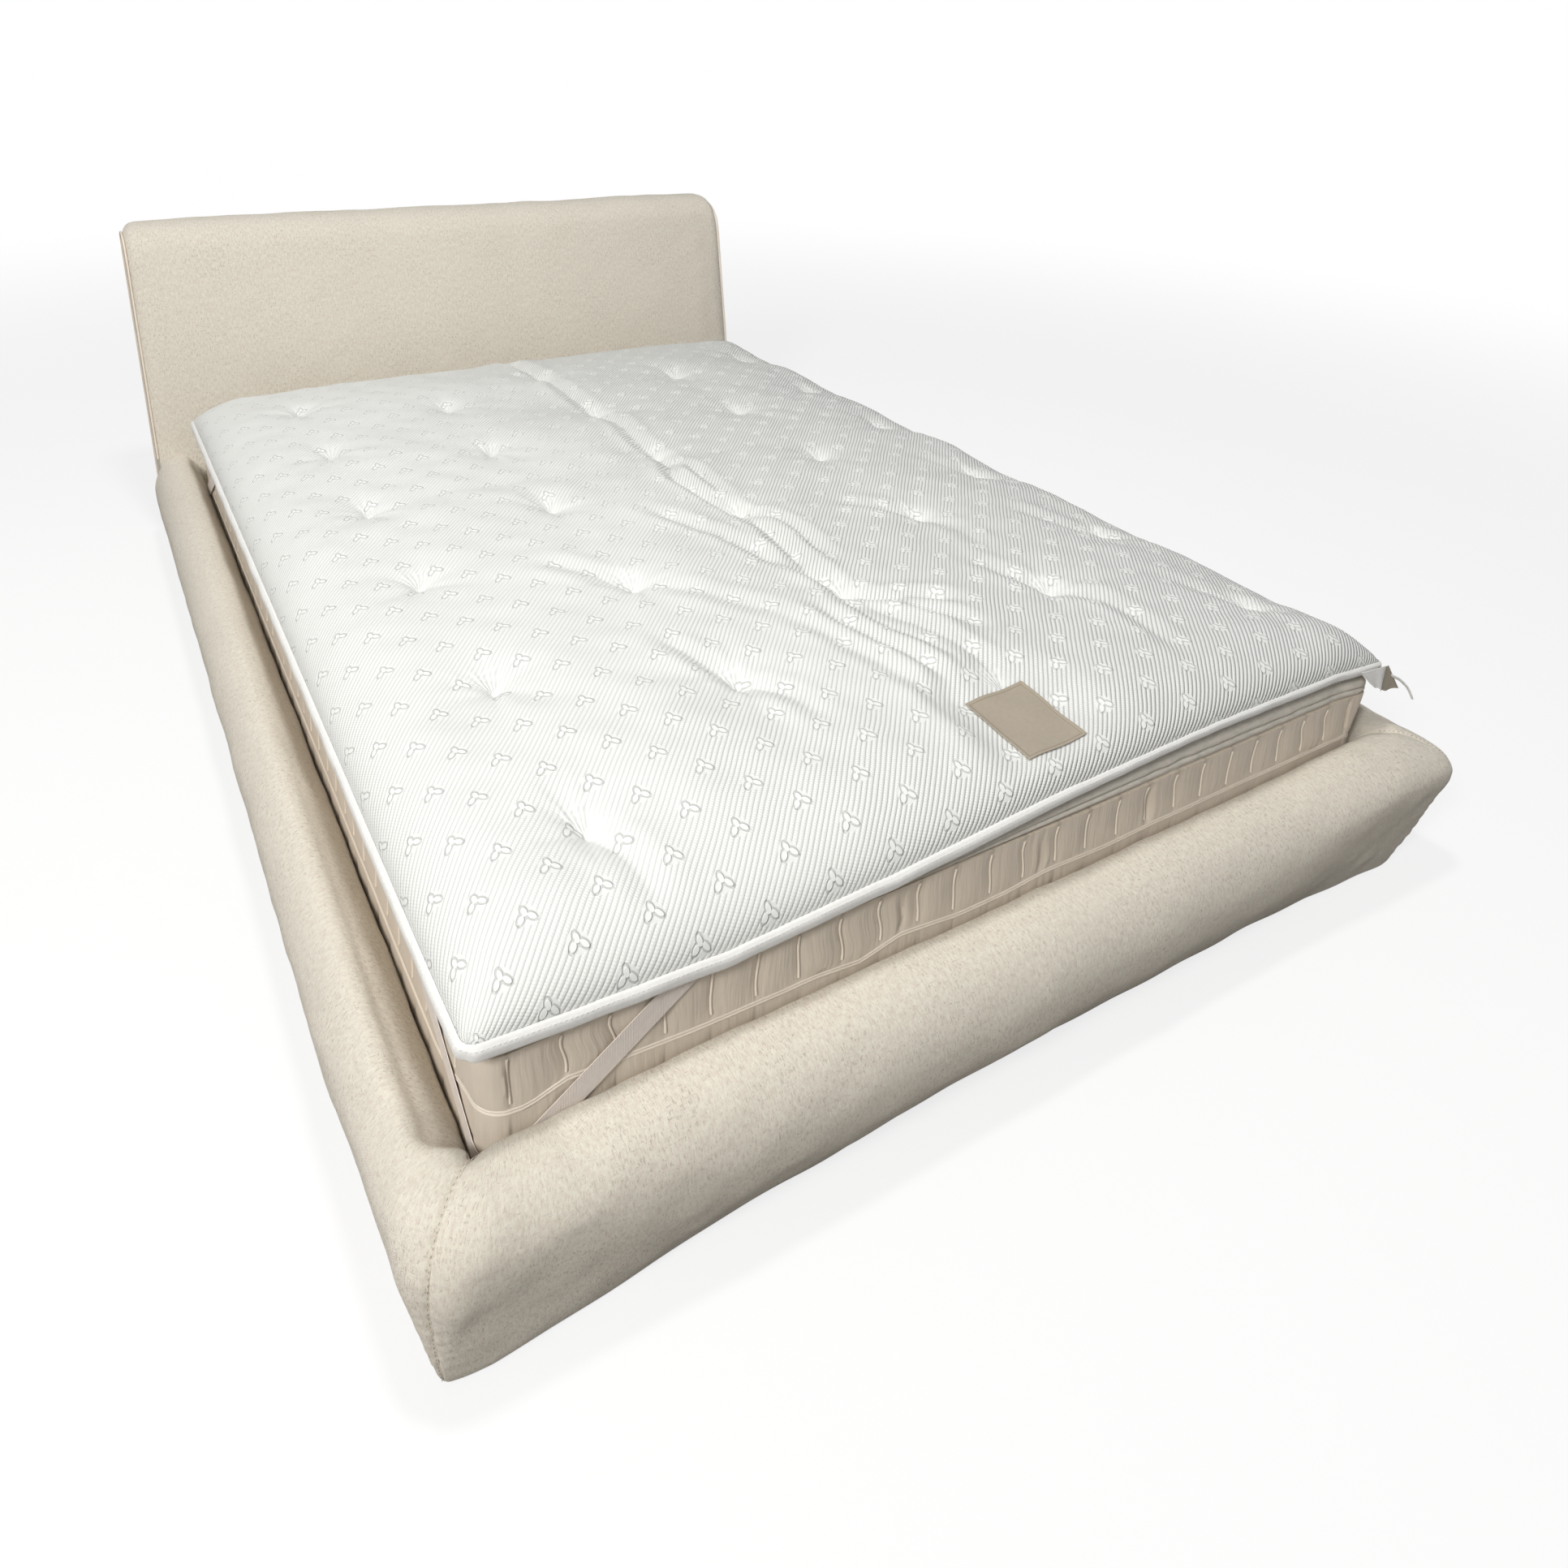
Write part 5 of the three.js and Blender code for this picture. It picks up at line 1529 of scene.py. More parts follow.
    def lining(self) -> Piece:
        """Builds the lining stretched over the back of the posts.

        Returns:
            The new object.
        """
        half = self.half - self.side_wall - 0.0006
        top = self.height - self.top_wall - 0.0006
        x = np.linspace(-half, half, 60)
        z = np.linspace(self.floor_gap, top, 36)
        gx, gz = np.meshgrid(x, z, indexing="ij")
        inside = smooth(half - np.abs(gx), 0, 0.06)
        dent = 0.0012 * ripple(gx, gz, 0.25, 3) * inside * smooth(top - gz, 0, 0.06)
        maker = Maker()
        outside = self.lining_front + self.lining_thickness + np.clip(dent, 0, None)
        inner = self.leaned(gx, self.lining_front, gz)
        maker.slab(self.leaned(gx, outside, gz), inner, np.stack([gx, gz], -1))
        piece = maker.build("headboard_lining", LINING, 60)
        keep(piece, Body.FRAME, ("headboard_back_cloth",))
        return (piece, 2 * half)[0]

    def build(self) -> None:
        """Builds every soft piece of the headboard."""
        self.pad()
        self.piping(-1, "headboard_piping_left")
        self.piping(1, "headboard_piping_right")
        self.lining()


# ---------------------------------------------------------------- mattress


# How far the edges along the foot stand off their level, by place across: the topper's edge,
# the mattress's cords and the mattress's rim
FOOT_LIFT_X = np.array([-0.72, -0.61, -0.43, -0.22, 0.03, 0.33, 0.60, 0.72])
FOOT_LIFT = np.array([0.006, -0.002, -0.010, 0.0, 0.019, 0.029, 0.027, 0.016])
PIPE_LIFT_X = np.array([
    -0.70, -0.653, -0.611, -0.549, -0.469, -0.362, -0.308, -0.251, -0.193, -0.105, -0.026, 0.042, 0.146,
    0.25, 0.7])
PIPE_LIFT = np.array([
    0.006, 0.0, 0.0126, 0.0076, 0.0016, -0.0024, -0.0024, -0.0084, 0.0046, -0.0054, -0.0044, 0.0011, -0.0029,
    0.0, -0.001])
RIM_LIFT_X = np.array([-0.72, -0.43, -0.14, -0.04, 0.10, 0.265, 0.53, 0.72])
RIM_LIFT = np.array([0.004, 0.004, 0.001, -0.001, -0.004, -0.002, -0.002, -0.001])
LIFT_FADE = 0.11


def foot_lift(x: Array, y: Array) -> Array:
    """Gives how far the topper's edge stands off its level near the foot."""
    wave = np.interp(x, FOOT_LIFT_X, FOOT_LIFT)
    return wave * np.exp(-np.clip(y, 0, None) / LIFT_FADE)


@dataclass
class Mattress:
    """The mattress: channelled border, double piping, welts and a quilted top."""

    half: float = 0.700
    length: float = 2.0
    corner: float = 0.030
    bottom: float = 0.1184
    top: float = 0.3184
    seam: float = 0.2304
    left_drop: float = 0.048
    rim: float = 0.3020
    pitch: float = 0.056
    depth: float = 0.0055
    piping_radius: float = 0.0019
    welt_radius: float = 0.0015
    edge_inset: float = 0.012
    edge_height: float = 0.015
    columns: tuple[float, ...] = (
        0.035, 0.09, 0.16, 0.24, 0.32, 0.40, 0.48, 0.56, 0.64, 0.72, 0.80, 0.87, 0.93, 0.97)
    gather_places: tuple[float, ...] = (-0.193, 0.029, 0.229)
    pinch_places: tuple[float, ...] = (
        -0.04, 0.06, 0.112, 0.155, 0.21, 0.262, 0.318, 0.365, 0.43, 0.49, 0.56, 0.62)

    def seam_height(self, points: Array) -> Array:
        """Gives the height of the seam between the borders at points of the outline.

        Args:
            points: Points of the outline.

        Returns:
            The height at each.
        """
        low_side = self.left_drop * smooth(-points[:, 0], 0.55, 0.69) * smooth(points[:, 1], 0.01, 0.17)
        lift = np.interp(points[:, 0], PIPE_LIFT_X, PIPE_LIFT)
        return self.seam - low_side + lift * np.exp(-points[:, 1] / LIFT_FADE)

    def rim_height(self, points: Array) -> Array:
        """Gives the height of the border's top at points of the outline."""
        lift = np.interp(points[:, 0], RIM_LIFT_X, RIM_LIFT)
        return self.rim + lift * np.exp(-points[:, 1] / LIFT_FADE)

    def rows(self) -> list[tuple[float, float, float, float, float]]:
        """Gives the border's rows: shares up to the seam and up to the rim, rise, push and fullness.

        Returns:
            Five numbers for each row, from the bottom up.
        """
        found = [(0, 0, -self.edge_height, -self.edge_inset, 0),
                 (0, 0, 0.004 - self.edge_height, -0.005, 0), (0, 0, 0, 0, 0)]
        for share in np.linspace(0, 1, 9)[1:]:
            found.append((share, 0, -0.0035 * share, -0.0015 * share, 0.4 * math.sin(math.pi * share)))
        found += [(1, 0, -0.0015, -0.007, 0), (1, 0, 0.0015, -0.007, 0)]
        for share in np.linspace(0, 1, 11):
            full = math.sin(math.pi * min(share * 1.02, 1)) ** 0.6
            found.append((1, share, 0.0035 * (1 - share), -0.0012, full))
        return found + [(1, 1, 0, -0.006, 0), (1, 1, 0, -0.014, 0)]

    def channel_counts(self) -> tuple[int, int]:
        """Gives how many channels there are across an end and along a side."""
        return (round((2 * self.half - 2 * self.corner) / self.pitch),
                round((self.length - 2 * self.corner) / self.pitch))

    def border(self) -> Piece:
        """Builds the border with a swell in each channel, its welts, and its closed top and bottom.

        Returns:
            The new object.
        """
        outline = Outline(self.half, 0, self.length, self.corner)
        counts = self.channel_counts() * 2
        cell = np.array([0.0, *self.columns])
        shares = [np.concatenate([(k + cell) / n for k in range(n)])[1:] for n in counts]
        points, normals = outline.walk(shares, 12)
        phase = np.concatenate([[*[0.5] * 12, 0.0, *np.tile(cell, n)[1:]] for n in counts])
        run = lengths(points)
        seam, rim = self.seam_height(points), self.rim_height(points)
        along = np.column_stack([-normals[:, 1], normals[:, 0]])
        swell = np.sin(math.pi * phase) ** 0.7
        # Share of painted shade beside each welt
        welt_shade_share = np.exp(-(np.minimum(phase, 1 - phase) * self.pitch / 0.0032) ** 2)
        uneven = ripple(run, run * 0, 0.19, 8) * 0.0012 + ripple(run, run * 0, 0.05, 9) * 0.0005
        gathers, sides = np.zeros(len(run)), np.zeros(len(run))
        for place in self.gather_places:
            off = np.abs(points[:, 0] - place)
            gathers += np.exp(-(off / 0.0055) ** 2) * (points[:, 1] < 0.01)
            outer, inner = np.exp(-((off - 0.017) / 0.004) ** 2), np.exp(-((off - 0.0105) / 0.004) ** 2)
            sides += (0.5 * outer - 0.35 * inner) * (points[:, 1] < 0.01)
        base = self.bottom + self.edge_height
        rings, marks, crests = [], [], []
        for low, high, rise, out, full in self.rows():
            level = base + low * (seam - base) + high * (rim - seam) + rise
            sway = (0.0022 * ripple(run, run * 0, 0.30, 33) * math.sin(2 * math.pi * high)
                    + 0.0014 * ripple(run, run * 0 + high * 0.05, 0.13, 34)) * (high > 0)
            pulled = 0.009 * gathers * (1.1 - high) + 0.004 * sides * (1 - 0.8 * high)
            drawn = pulled * (high > 0) + 0.003 * gathers * (high == 0)
            push = out + full * (self.depth * (swell - 0.75) + uneven - drawn)
            push = push + self.ear(points, normals) * (0.3 * low + 0.7 * high)
            if high == 0:
                push -= 0.0018 * (phase == 0) * full
            rings.append(np.column_stack([points + normals * push[:, None] + along * sway[:, None], level]))
            # The mark named seam carries painted shade: along the lower border's sunk seams and beside the
            # welts above
            marks.append((phase == 0) * min(2.2 * full, 0.8) if high == 0 else 0.55 * welt_shade_share)
            if 0 < high < 1:
                proud = np.column_stack([normals, run * 0])[phase == 0] * 0.0011
                crests.append(rings[-1][phase == 0] + proud)
        rings = np.stack(rings)
        tops = [self.inset_ring(points, inset, self.rim - 0.001) for inset in (0.06, 0.25)]
        feet = [self.inset_ring(points, inset, self.bottom) for inset in (0.25, 0.06)]
        marks = np.concatenate([np.zeros(2 * len(run)), *marks, np.zeros(2 * len(run) + 2)])
        rings = np.concatenate([np.stack(feet), rings, np.stack(tops)])
        maker = Maker()
        index = maker.add(rings)
        up = lengths(rings[:, len(run) // 3])
        maker.grid(np.hstack([index, index[:, :1]]), crossings(up, loop_lengths(points))[..., ::-1])
        maker.fan(index[0], np.array([0, self.length / 2, self.bottom]))
        maker.fan(index[-1][::-1], np.array([0, self.length / 2, self.rim - 0.001]))
        # Its seam mark is painted shade along the seams and beside the welts
        piece = maker.build("mattress_border", BORDER, 60, {"seam": marks})
        keep(piece, Body.MATTRESS, ("mattress",))
        lines = list(np.stack(crests, 1))
        welts = Repeats.lay("mattress_welts", Repeats.sweep(), lines, {"Radius": self.welt_radius}, WELT)
        keep(welts, Body.MATTRESS)
        return piece

    def ear(self, points: Array, normals: Array) -> Array:
        """Gives how far the foot's right corner stands out."""
        corner = np.exp(-((np.abs(normals[:, 0]) - np.abs(normals[:, 1])) / 0.6) ** 2)
        return 0.012 * corner * smooth(points[:, 0], 0.62, 0.66) * smooth(points[:, 1], 0.06, 0.03)

    def inset_ring(self, points: Array, inset: float, z: float) -> Array:
        """Draws the outline in toward the middle at one height.

        Args:
            points: Points of the outline.
            inset: How far in it lies.
            z: Its height.

        Returns:
            The drawn-in points.
        """
        shrink = np.array([(self.half - inset) / self.half, (self.length - 2 * inset) / self.length])
        middle = np.array([0, self.length / 2])
        return np.column_stack([(points - middle) * shrink + middle, np.full(len(points), z)])

    def quilt(self) -> Piece:
        """Builds the quilted panel that closes the top.

        Returns:
            The new object.
        """
        share = np.array([0, 0.05, 0.10, 0.15, 0.20, 0.25, 0.30, 0.36, 0.43, 0.51, 0.60, 0.70, 0.82, 1.0])
        roll = 0.0045 * np.exp(-((share - 0.27) / 0.05) ** 2) - 0.002 * np.exp(-((share - 0.13) / 0.07) ** 2)
        curl = 0.006 + 0.02 * share ** 2 - 0.0095 * np.sin(math.pi * share) + roll
        run = np.concatenate([curl, np.linspace(0.045, 0.5, 80)])
        rise = np.concatenate([share ** 0.8, np.ones(80)])
        inner = np.linspace(0.5, self.length - 0.5, 62)[1:-1]
        xs = np.concatenate([-self.half + run, [0.0], self.half - run[::-1]])
        ys = np.concatenate([run, inner, self.length - run[::-1]])
        gx, gy = np.meshgrid(xs, ys, indexing="ij")
        side = np.concatenate([rise, [1.0], rise[::-1]])[:, None]
        end = np.concatenate([rise, np.ones(len(inner)), rise[::-1]])[None]
        pinch = sum(np.exp(-((gx - place) / 0.005) ** 2) for place in self.pinch_places)
        edge = np.minimum(side, end)
        base = self.rim_height(np.stack([gx.ravel(), gy.ravel()], -1)).reshape(gx.shape) + 0.0004
        level = self.top - 0.0006 + np.clip(foot_lift(gx, gy), 0, None)
        puff = 0.0014 * np.abs(ripple(gx + 0.4 * gy, gy * 0, 0.06, 14))
        puff = puff + 0.0035 * pinch * smooth(end, 0.45, 0.15)
        gy = gy + puff * np.sin(math.pi * end) * (gy < 0.1)
        z = base + (level - base) * edge - 0.0012 * np.clip(ripple(gx, gy, 0.05, 15), 0, None) * (edge > 0.3)
        ear = 0.010 * smooth(gx, 0.63, 0.69) * smooth(gy, 0.07, 0.01)
        gx, gy = round_corners(gx, gy, (self.half, 0.0, self.length), self.corner)
        gx, gy = gx + ear, gy - ear * 0.6
        maker = Maker()
        topside = maker.add(np.stack([gx, gy, z], -1))
        maker.grid(topside, np.stack([gx, gy + (z - self.top) * (gy < 0.1)], -1))
        loop = maker.rim(topside)
        points = np.vstack(maker.points)[loop]
        inner_ring = self.inset_ring(points[:, :2], 0.06, self.rim)
        inner_ring[:, 2] = points[:, 2]
        index = np.vstack([loop, maker.add(inner_ring)])
        maker.grid(np.hstack([index, index[:, :1]]), crossings([0, 0.06], loop_lengths(points))[..., ::-1])
        maker.fan(index[-1], np.array([0, self.length / 2, self.rim + 0.0004]))
        piece = maker.build("mattress_quilted_top", QUILT, 70)
        keep(piece, Body.MATTRESS)
        return piece

    def piping(self) -> Piece:
        """Builds the two close cords between the borders.

        Returns:
            The new object.
        """
        points, normals = Outline(self.half, 0, self.length, self.corner).even(0.012)
        maker = Maker()
        run = lengths(points)
        for level in (-1, 1):
            wavy = 0.0006 * ripple(run, run * 0, 0.2, 21)
            z = self.seam_height(points) + level * self.piping_radius * 1.02 + wavy
            path = np.column_stack([points - normals * 0.0021, z])
            tube(maker, path, self.piping_radius, 8, closed=True)
        piece = maker.build("mattress_cords", WELT)
        return keep(piece, Body.MATTRESS, ("mattress_piping",))

    def build(self) -> None:
        """Builds every piece of the mattress."""
        self.border()
        self.quilt()
        self.piping()


# ---------------------------------------------------------------- topper


TUFTS = (
    (-0.520, 0.156), (-0.519, 0.460), (-0.523, 0.790), (-0.523, 1.108), (-0.519, 1.417), (-0.521, 1.715),
    (-0.236, 0.313), (-0.239, 0.623), (-0.240, 0.961), (-0.241, 1.280), (-0.238, 1.578),
    (0.085, 0.150), (0.039, 0.460), (0.048, 0.795), (0.050, 1.127), (0.047, 1.417), (0.042, 1.712),
    (0.333, 0.315), (0.331, 0.638), (0.341, 0.968), (0.339, 1.289), (0.336, 1.589),
    (0.603, 0.149), (0.597, 0.441), (0.595, 0.774), (0.605, 1.108), (0.611, 1.409), (0.612, 1.715),
)
# Each crease: depth, width, and the points that it runs through
CREASES = (
    (0.013, 0.017, ((0.015, 1.93), (0.030, 1.85), (0.042, 1.715))),
    (0.008, 0.015, ((0.042, 1.71), (0.036, 1.60), (0.040, 1.50), (0.047, 1.42))),
    (0.010, 0.015, ((0.047, 1.41), (0.055, 1.33), (0.046, 1.22), (0.050, 1.13))),
    (0.015, 0.014, ((0.052, 1.12), (0.040, 1.05), (0.018, 1.00), (0.026, 0.90), (0.046, 0.80))),
    (0.007, 0.012, ((0.058, 1.11), (0.066, 1.02), (0.062, 0.92), (0.050, 0.81))),
    (0.017, 0.015, ((0.047, 0.79), (0.050, 0.70), (0.042, 0.62), (0.030, 0.54), (0.038, 0.46))),
    (0.010, 0.012, ((0.052, 0.79), (0.085, 0.74), (0.092, 0.66), (0.076, 0.56))),
    (0.009, 0.013, ((-0.105, 0.88), (-0.05, 0.76), (-0.012, 0.63), (0.015, 0.53), (0.034, 0.465))),
    (0.011, 0.012, ((0.040, 0.455), (0.085, 0.41), (0.125, 0.385), (0.168, 0.345))),
    (0.008, 0.011, ((0.045, 0.445), (0.085, 0.385), (0.130, 0.315), (0.150, 0.27))),
    (0.011, 0.013, ((0.032, 0.45), (0.050, 0.37), (0.078, 0.28), (0.095, 0.20), (0.090, 0.16))),
    (0.010, 0.013, ((0.018, 0.46), (0.020, 0.37), (0.048, 0.28), (0.066, 0.20))),
    (0.010, 0.013, ((-0.030, 0.44), (-0.018, 0.34), (0.008, 0.25), (0.022, 0.17))),
    (0.006, 0.014, ((-0.080, 0.40), (-0.055, 0.30), (-0.035, 0.21), (-0.02, 0.14))),
    (0.006, 0.016, ((-0.345, 0.75), (-0.285, 0.68), (-0.242, 0.625))),
    (0.005, 0.016, ((-0.235, 0.62), (-0.17, 0.55), (-0.10, 0.44), (-0.07, 0.36))),
    (0.006, 0.014, ((-0.285, 0.45), (-0.255, 0.37), (-0.236, 0.315))),
    (0.006, 0.014, ((-0.234, 0.31), (-0.20, 0.26), (-0.18, 0.18))),
    (0.007, 0.015, ((0.225, 0.76), (0.285, 0.69), (0.330, 0.64))),
    (0.005, 0.015, ((0.331, 0.635), (0.345, 0.56), (0.335, 0.47))),
    (0.007, 0.015, ((0.270, 0.45), (0.305, 0.37), (0.333, 0.317))),
    (0.007, 0.014, ((0.335, 0.312), (0.368, 0.25), (0.375, 0.17), (0.36, 0.10))),
    (0.005, 0.015, ((-0.520, 0.153), (-0.500, 0.10), (-0.490, 0.04))),
    (0.007, 0.016, ((0.500, 0.60), (0.545, 0.51), (0.597, 0.445), (0.650, 0.41))),
    (0.006, 0.016, ((0.520, 0.90), (0.560, 0.83), (0.597, 0.777), (0.650, 0.75))),
    (0.005, 0.016, ((0.530, 0.26), (0.570, 0.20), (0.603, 0.152), (0.655, 0.12))),
    (0.0025, 0.030, ((-0.7, 1.03), (-0.6, 1.07), (-0.4, 1.10), (-0.20, 1.085), (0.05, 1.075), (0.25, 1.06))),
)


@dataclass
class Topper:
    """The topper: a tufted, creased knit top over a rounded edge, bound with tape."""

    half: float = 0.716
    shift: float = 0.004
    foot: float = -0.004
    head: float = 2.004
    corner: float = 0.014
    bottom: float = 0.3187
    wall: float = 0.015
    edge_rise: float = 0.060
    edge_run: float = 0.110
    crown_rise: float = 0.036
    crown_run: float = 0.350
    label_box: tuple[float, float, float, float] = (0.016, 0.115, 0.029, 0.151)
    tape_shape: tuple[tuple[float, float], ...] = (
        (0.0003, 0.0), (0.004, -0.0006), (0.0068, 0.0012), (0.0078, 0.006), (0.0076, 0.0105),
        (0.0062, 0.0135), (0.0048, 0.0146), (0.0040, 0.0158), (0.0015, 0.0168), (0.0003, 0.0166))
    tie: Rows = (
        (0.728, -0.009, 0.331), (0.743, -0.014, 0.323), (0.758, -0.018, 0.314), (0.773, -0.024, 0.299),
        (0.783, -0.030, 0.280))
    fold: Rows = (
        (0.650, -0.0125, 0.355), (0.714, -0.0135, 0.350), (0.703, -0.0195, 0.312), (0.672, -0.0165, 0.334))
    flap: Rows = (
        (0.700, -0.0095, 0.349), (0.731, -0.0085, 0.343), (0.768, -0.0125, 0.294), (0.707, -0.0110, 0.313))

    def lines(self, low: float, high: float, marks: Array, coarse: float, fine: float) -> Array:
        """Gives grid places from edge to edge, close together where the edge turns down and near marks.

        Args:
            low: The first edge.
            high: The last edge.
            marks: Places that get the fine spacing.
            coarse: Spacing away from the marks.
            fine: Spacing near them.

        Returns:
            The places.
        """
        edge = self.edge_run * (1 - np.cos(np.linspace(0, math.pi / 2, 15)))
        trial = np.linspace(low + self.edge_run, high - self.edge_run, 2000)
        near = smooth(np.abs(trial[:, None] - marks).min(1), 0.055, 0.030)
        dense = np.cumsum(1 / (coarse + (fine - coarse) * near))
        dense = (dense - dense[0]) * (trial[1] - trial[0])
        middle = np.interp(np.linspace(0, dense[-1], round(dense[-1])), dense, trial)
        return np.concatenate([low + edge[:-1], middle, (high - edge[:-1])[::-1]])

    def sides(self, x: Array, y: Array) -> tuple[Array, Array]:
        """Gives distances from the nearer long side and from the nearer end."""
        return self.half - np.abs(x - self.shift), np.minimum(y - self.foot, self.head - y)

    def level(self, x: Array, y: Array) -> Array:
        """Gives the height of the top without its tufts and creases.

        Args:
            x: Places across.
            y: Places along.

        Returns:
            The height at each place.
        """
        side, end = self.sides(x, y)

        def edge(distance: Array) -> Array:
            """Gives the rounded edge's share of its rise."""
            return np.sqrt(1 - (1 - np.clip(distance / self.edge_run, 0, 1)) ** 2)

        def crown(distance: Array) -> Array:
            """Gives the crown's share of its rise."""
            return np.sin(math.pi / 2 * np.clip(distance / self.crown_run, 0, 1))

        return (self.bottom + self.wall + self.edge_rise * edge(side) * edge(end)
                + self.crown_rise * crown(side) * crown(end) + foot_lift(x, y - self.foot))

    def pinches(self, x: Array, y: Array) -> tuple[Array, Array, Array]:
        """Works out what the tufts do to the top.

        Args:
            x: Places across.
            y: Places along.

        Returns:
            How far the tufts pull the top down, how taut the knit is, and the way to the
            nearest tuft.
        """
        rng = np.random.default_rng(4)
        pulled, taut = np.zeros(x.shape), np.zeros(x.shape)
        tuft = np.zeros((*x.shape, 3))
        for tx, ty in TUFTS:
            dx, dy = x - tx, y - ty
            away = np.hypot(dx, dy) + 1e-6
            angle = np.arctan2(dy, dx)
            fan = np.exp(-((angle - math.pi / 2 - rng.uniform(-0.15, 0.15)) / 0.62) ** 2)
            reach = 0.013 + 0.026 * fan
            sharp = 0.019 * np.exp(-(away / reach))
            lobes = np.cos(angle * 13 + rng.uniform(0, 6)) * 0.6
            lobes += np.cos(angle * 21 + rng.uniform(0, 6)) * 0.4
            pucker = 0.0042 * lobes * (away / 0.022) * np.exp(-away / 0.022) * (0.35 + 0.65 * fan)
            lobes = np.cos(angle * 6 + rng.uniform(0, 6)) + 0.6 * np.cos(angle * 9 + rng.uniform(0, 6))
            broad = 0.0022 * lobes * (away / 0.05) * np.exp(-away / 0.05)
            pulled += 0.009 * np.exp(-(away / 0.06) ** 2) + sharp + pucker + broad
            taut = np.maximum(taut, 0.8 * np.exp(-(away / 0.028) ** 2))
            near = away < 0.11
            tuft[near] = np.stack([dx, dy, smooth(away, 0.105, 0.09)], -1)[near]
        return pulled, taut, tuft

    def folds(self, x: Array, y: Array) -> Array:
        """Gives how deep the long creases are.

        Args:
            x: Places across.
            y: Places along.

        Returns:
            The depth at each place.
        """
        depth = np.zeros(x.shape)
        for deep, width, points in CREASES:
            line = spline(np.array(points), 24, 2)
            near = (np.abs(x - line[:, 0].mean()) < np.ptp(line[:, 0]) / 2 + 0.12) & (
                np.abs(y - line[:, 1].mean()) < np.ptp(line[:, 1]) / 2 + 0.12)
            signed, place = line_distance(x[near], y[near], line)
            ends = smooth(place, -0.02, 0.22) * smooth(place, 1.02, 0.78)
            away = np.abs(signed) / width
            valley = np.exp(-away ** 1.25) - 0.38 * np.exp(-((away - 2.1) / 0.9) ** 2)
            depth[near] += deep * (0.25 + 0.75 * ends) * valley
        return depth

    def surface(self, x: Array, y: Array) -> tuple[Array, Array, Array]:
        """Works out the finished top.

        Args:
            x: Places across.
            y: Places along.

        Returns:
            Its height, how taut the knit is, and the way to the nearest tuft.
        """
        side, end = self.sides(x, y)
        free = smooth(np.minimum(side, end), 0.0, 0.06)
        pulled, taut, tuft = self.pinches(x, y)
        wavy = 0.0022 * ripple(x, y, 0.26, 17) + 0.0009 * ripple(x, y, 0.075, 18)
        scallop = 0.004 * np.cos(2 * math.pi * (y - 0.149) / 0.318)
        scallop = scallop * np.exp(-((side - 0.05) / 0.05) ** 2) * (x > 0)
        z = self.level(x, y) + (wavy - pulled - self.folds(x, y) - scallop) * free
        x0, x1, y0, y1 = self.label_box
        beyond = np.maximum(x0 - x, x - x1), np.maximum(y0 - y, y - y1)
        away = np.hypot(*np.clip(beyond, 0, None))
        z -= np.clip(z - self.label_height(x, y), 0, None) * smooth(away, 0.075, 0.0)
        sewn = smooth(away, 0.010, 0.002)
        puckers = 0.0012 * ripple(x, y, 0.022, 23) * sewn * smooth(away, 0.0, 0.006)
        tuft[..., 2] *= 1 - sewn
        return z * (1 - sewn) + self.label_height(x, y) * sewn + puckers, taut * (1 - sewn), tuft

    @staticmethod
    def unrolled(places: Array, heights: Array) -> Array:
        """Gives each place's length along the cloth, equal to the place itself in the middle."""
        run = lengths(np.column_stack([places, heights]))
        return run - run[len(run) // 2] + places[len(run) // 2]

    def body(self) -> Piece:
        """Builds the closed topper.

        Returns:
            The new object.
        """
        spots = np.array(TUFTS)
        left, right = self.shift - self.half, self.shift + self.half
        xs = self.lines(left, right, np.unique(spots[:, 0]), 0.0072, 0.0042)
        ys = self.lines(self.foot, self.head, spots[:, 1], 0.0058, 0.0052)
        gx, gy = np.meshgrid(xs, ys, indexing="ij")
        z, taut, tuft = self.surface(gx, gy)
        px, py = round_corners(gx, gy, (self.half, self.foot, self.head), self.corner, self.shift)
        maker = Maker()
        sheet = np.stack([px, py, z], -1)
        topside = maker.add(sheet)
        maker.grid(topside, crossings(self.unrolled(xs, self.level(xs, xs * 0 + 1)),
                                      self.unrolled(ys, self.level(ys * 0, ys))))
        loop = maker.rim(topside)
        points = np.vstack(maker.points)[loop]
        middle = np.array([self.shift, (self.foot + self.head) / 2])
        rings = [loop]
        for inset, share in ((0.0, 1.0), (0.02, 0.8), (0.06, 0.5), (0.25, 0.0)):
            ring = points.copy()
            size = np.array([(self.half - inset) / self.half, 1 - 2 * inset / (self.head - self.foot)])
            ring[:, :2] = (ring[:, :2] - middle) * size + middle
            lift = foot_lift(ring[:, 0], ring[:, 1] - self.foot)
            ring[:, 2] = self.bottom + (lift if inset == 0 else np.clip(lift, 0, None)) * (share > 0)
            rings.append(maker.add(ring))
        index = np.vstack(rings)
        down = (0, 0.015, 0.035, 0.075, 0.27)
        maker.grid(np.hstack([index, index[:, :1]]), crossings(down, loop_lengths(points))[..., ::-1])
        maker.fan(index[-1], np.array([self.shift, middle[1], self.bottom]))
        marks = np.zeros(maker.count)
        marks[:taut.size] = taut.ravel()
        ways = np.zeros((maker.count, 3))
        ways[:taut.size] = tuft.reshape(-1, 3)
        piece = maker.build("topper_knit_cover", KNIT, 70, {"taut": marks, "tuft": ways})
        keep(piece, Body.TOPPER, ("topper",))
        return piece

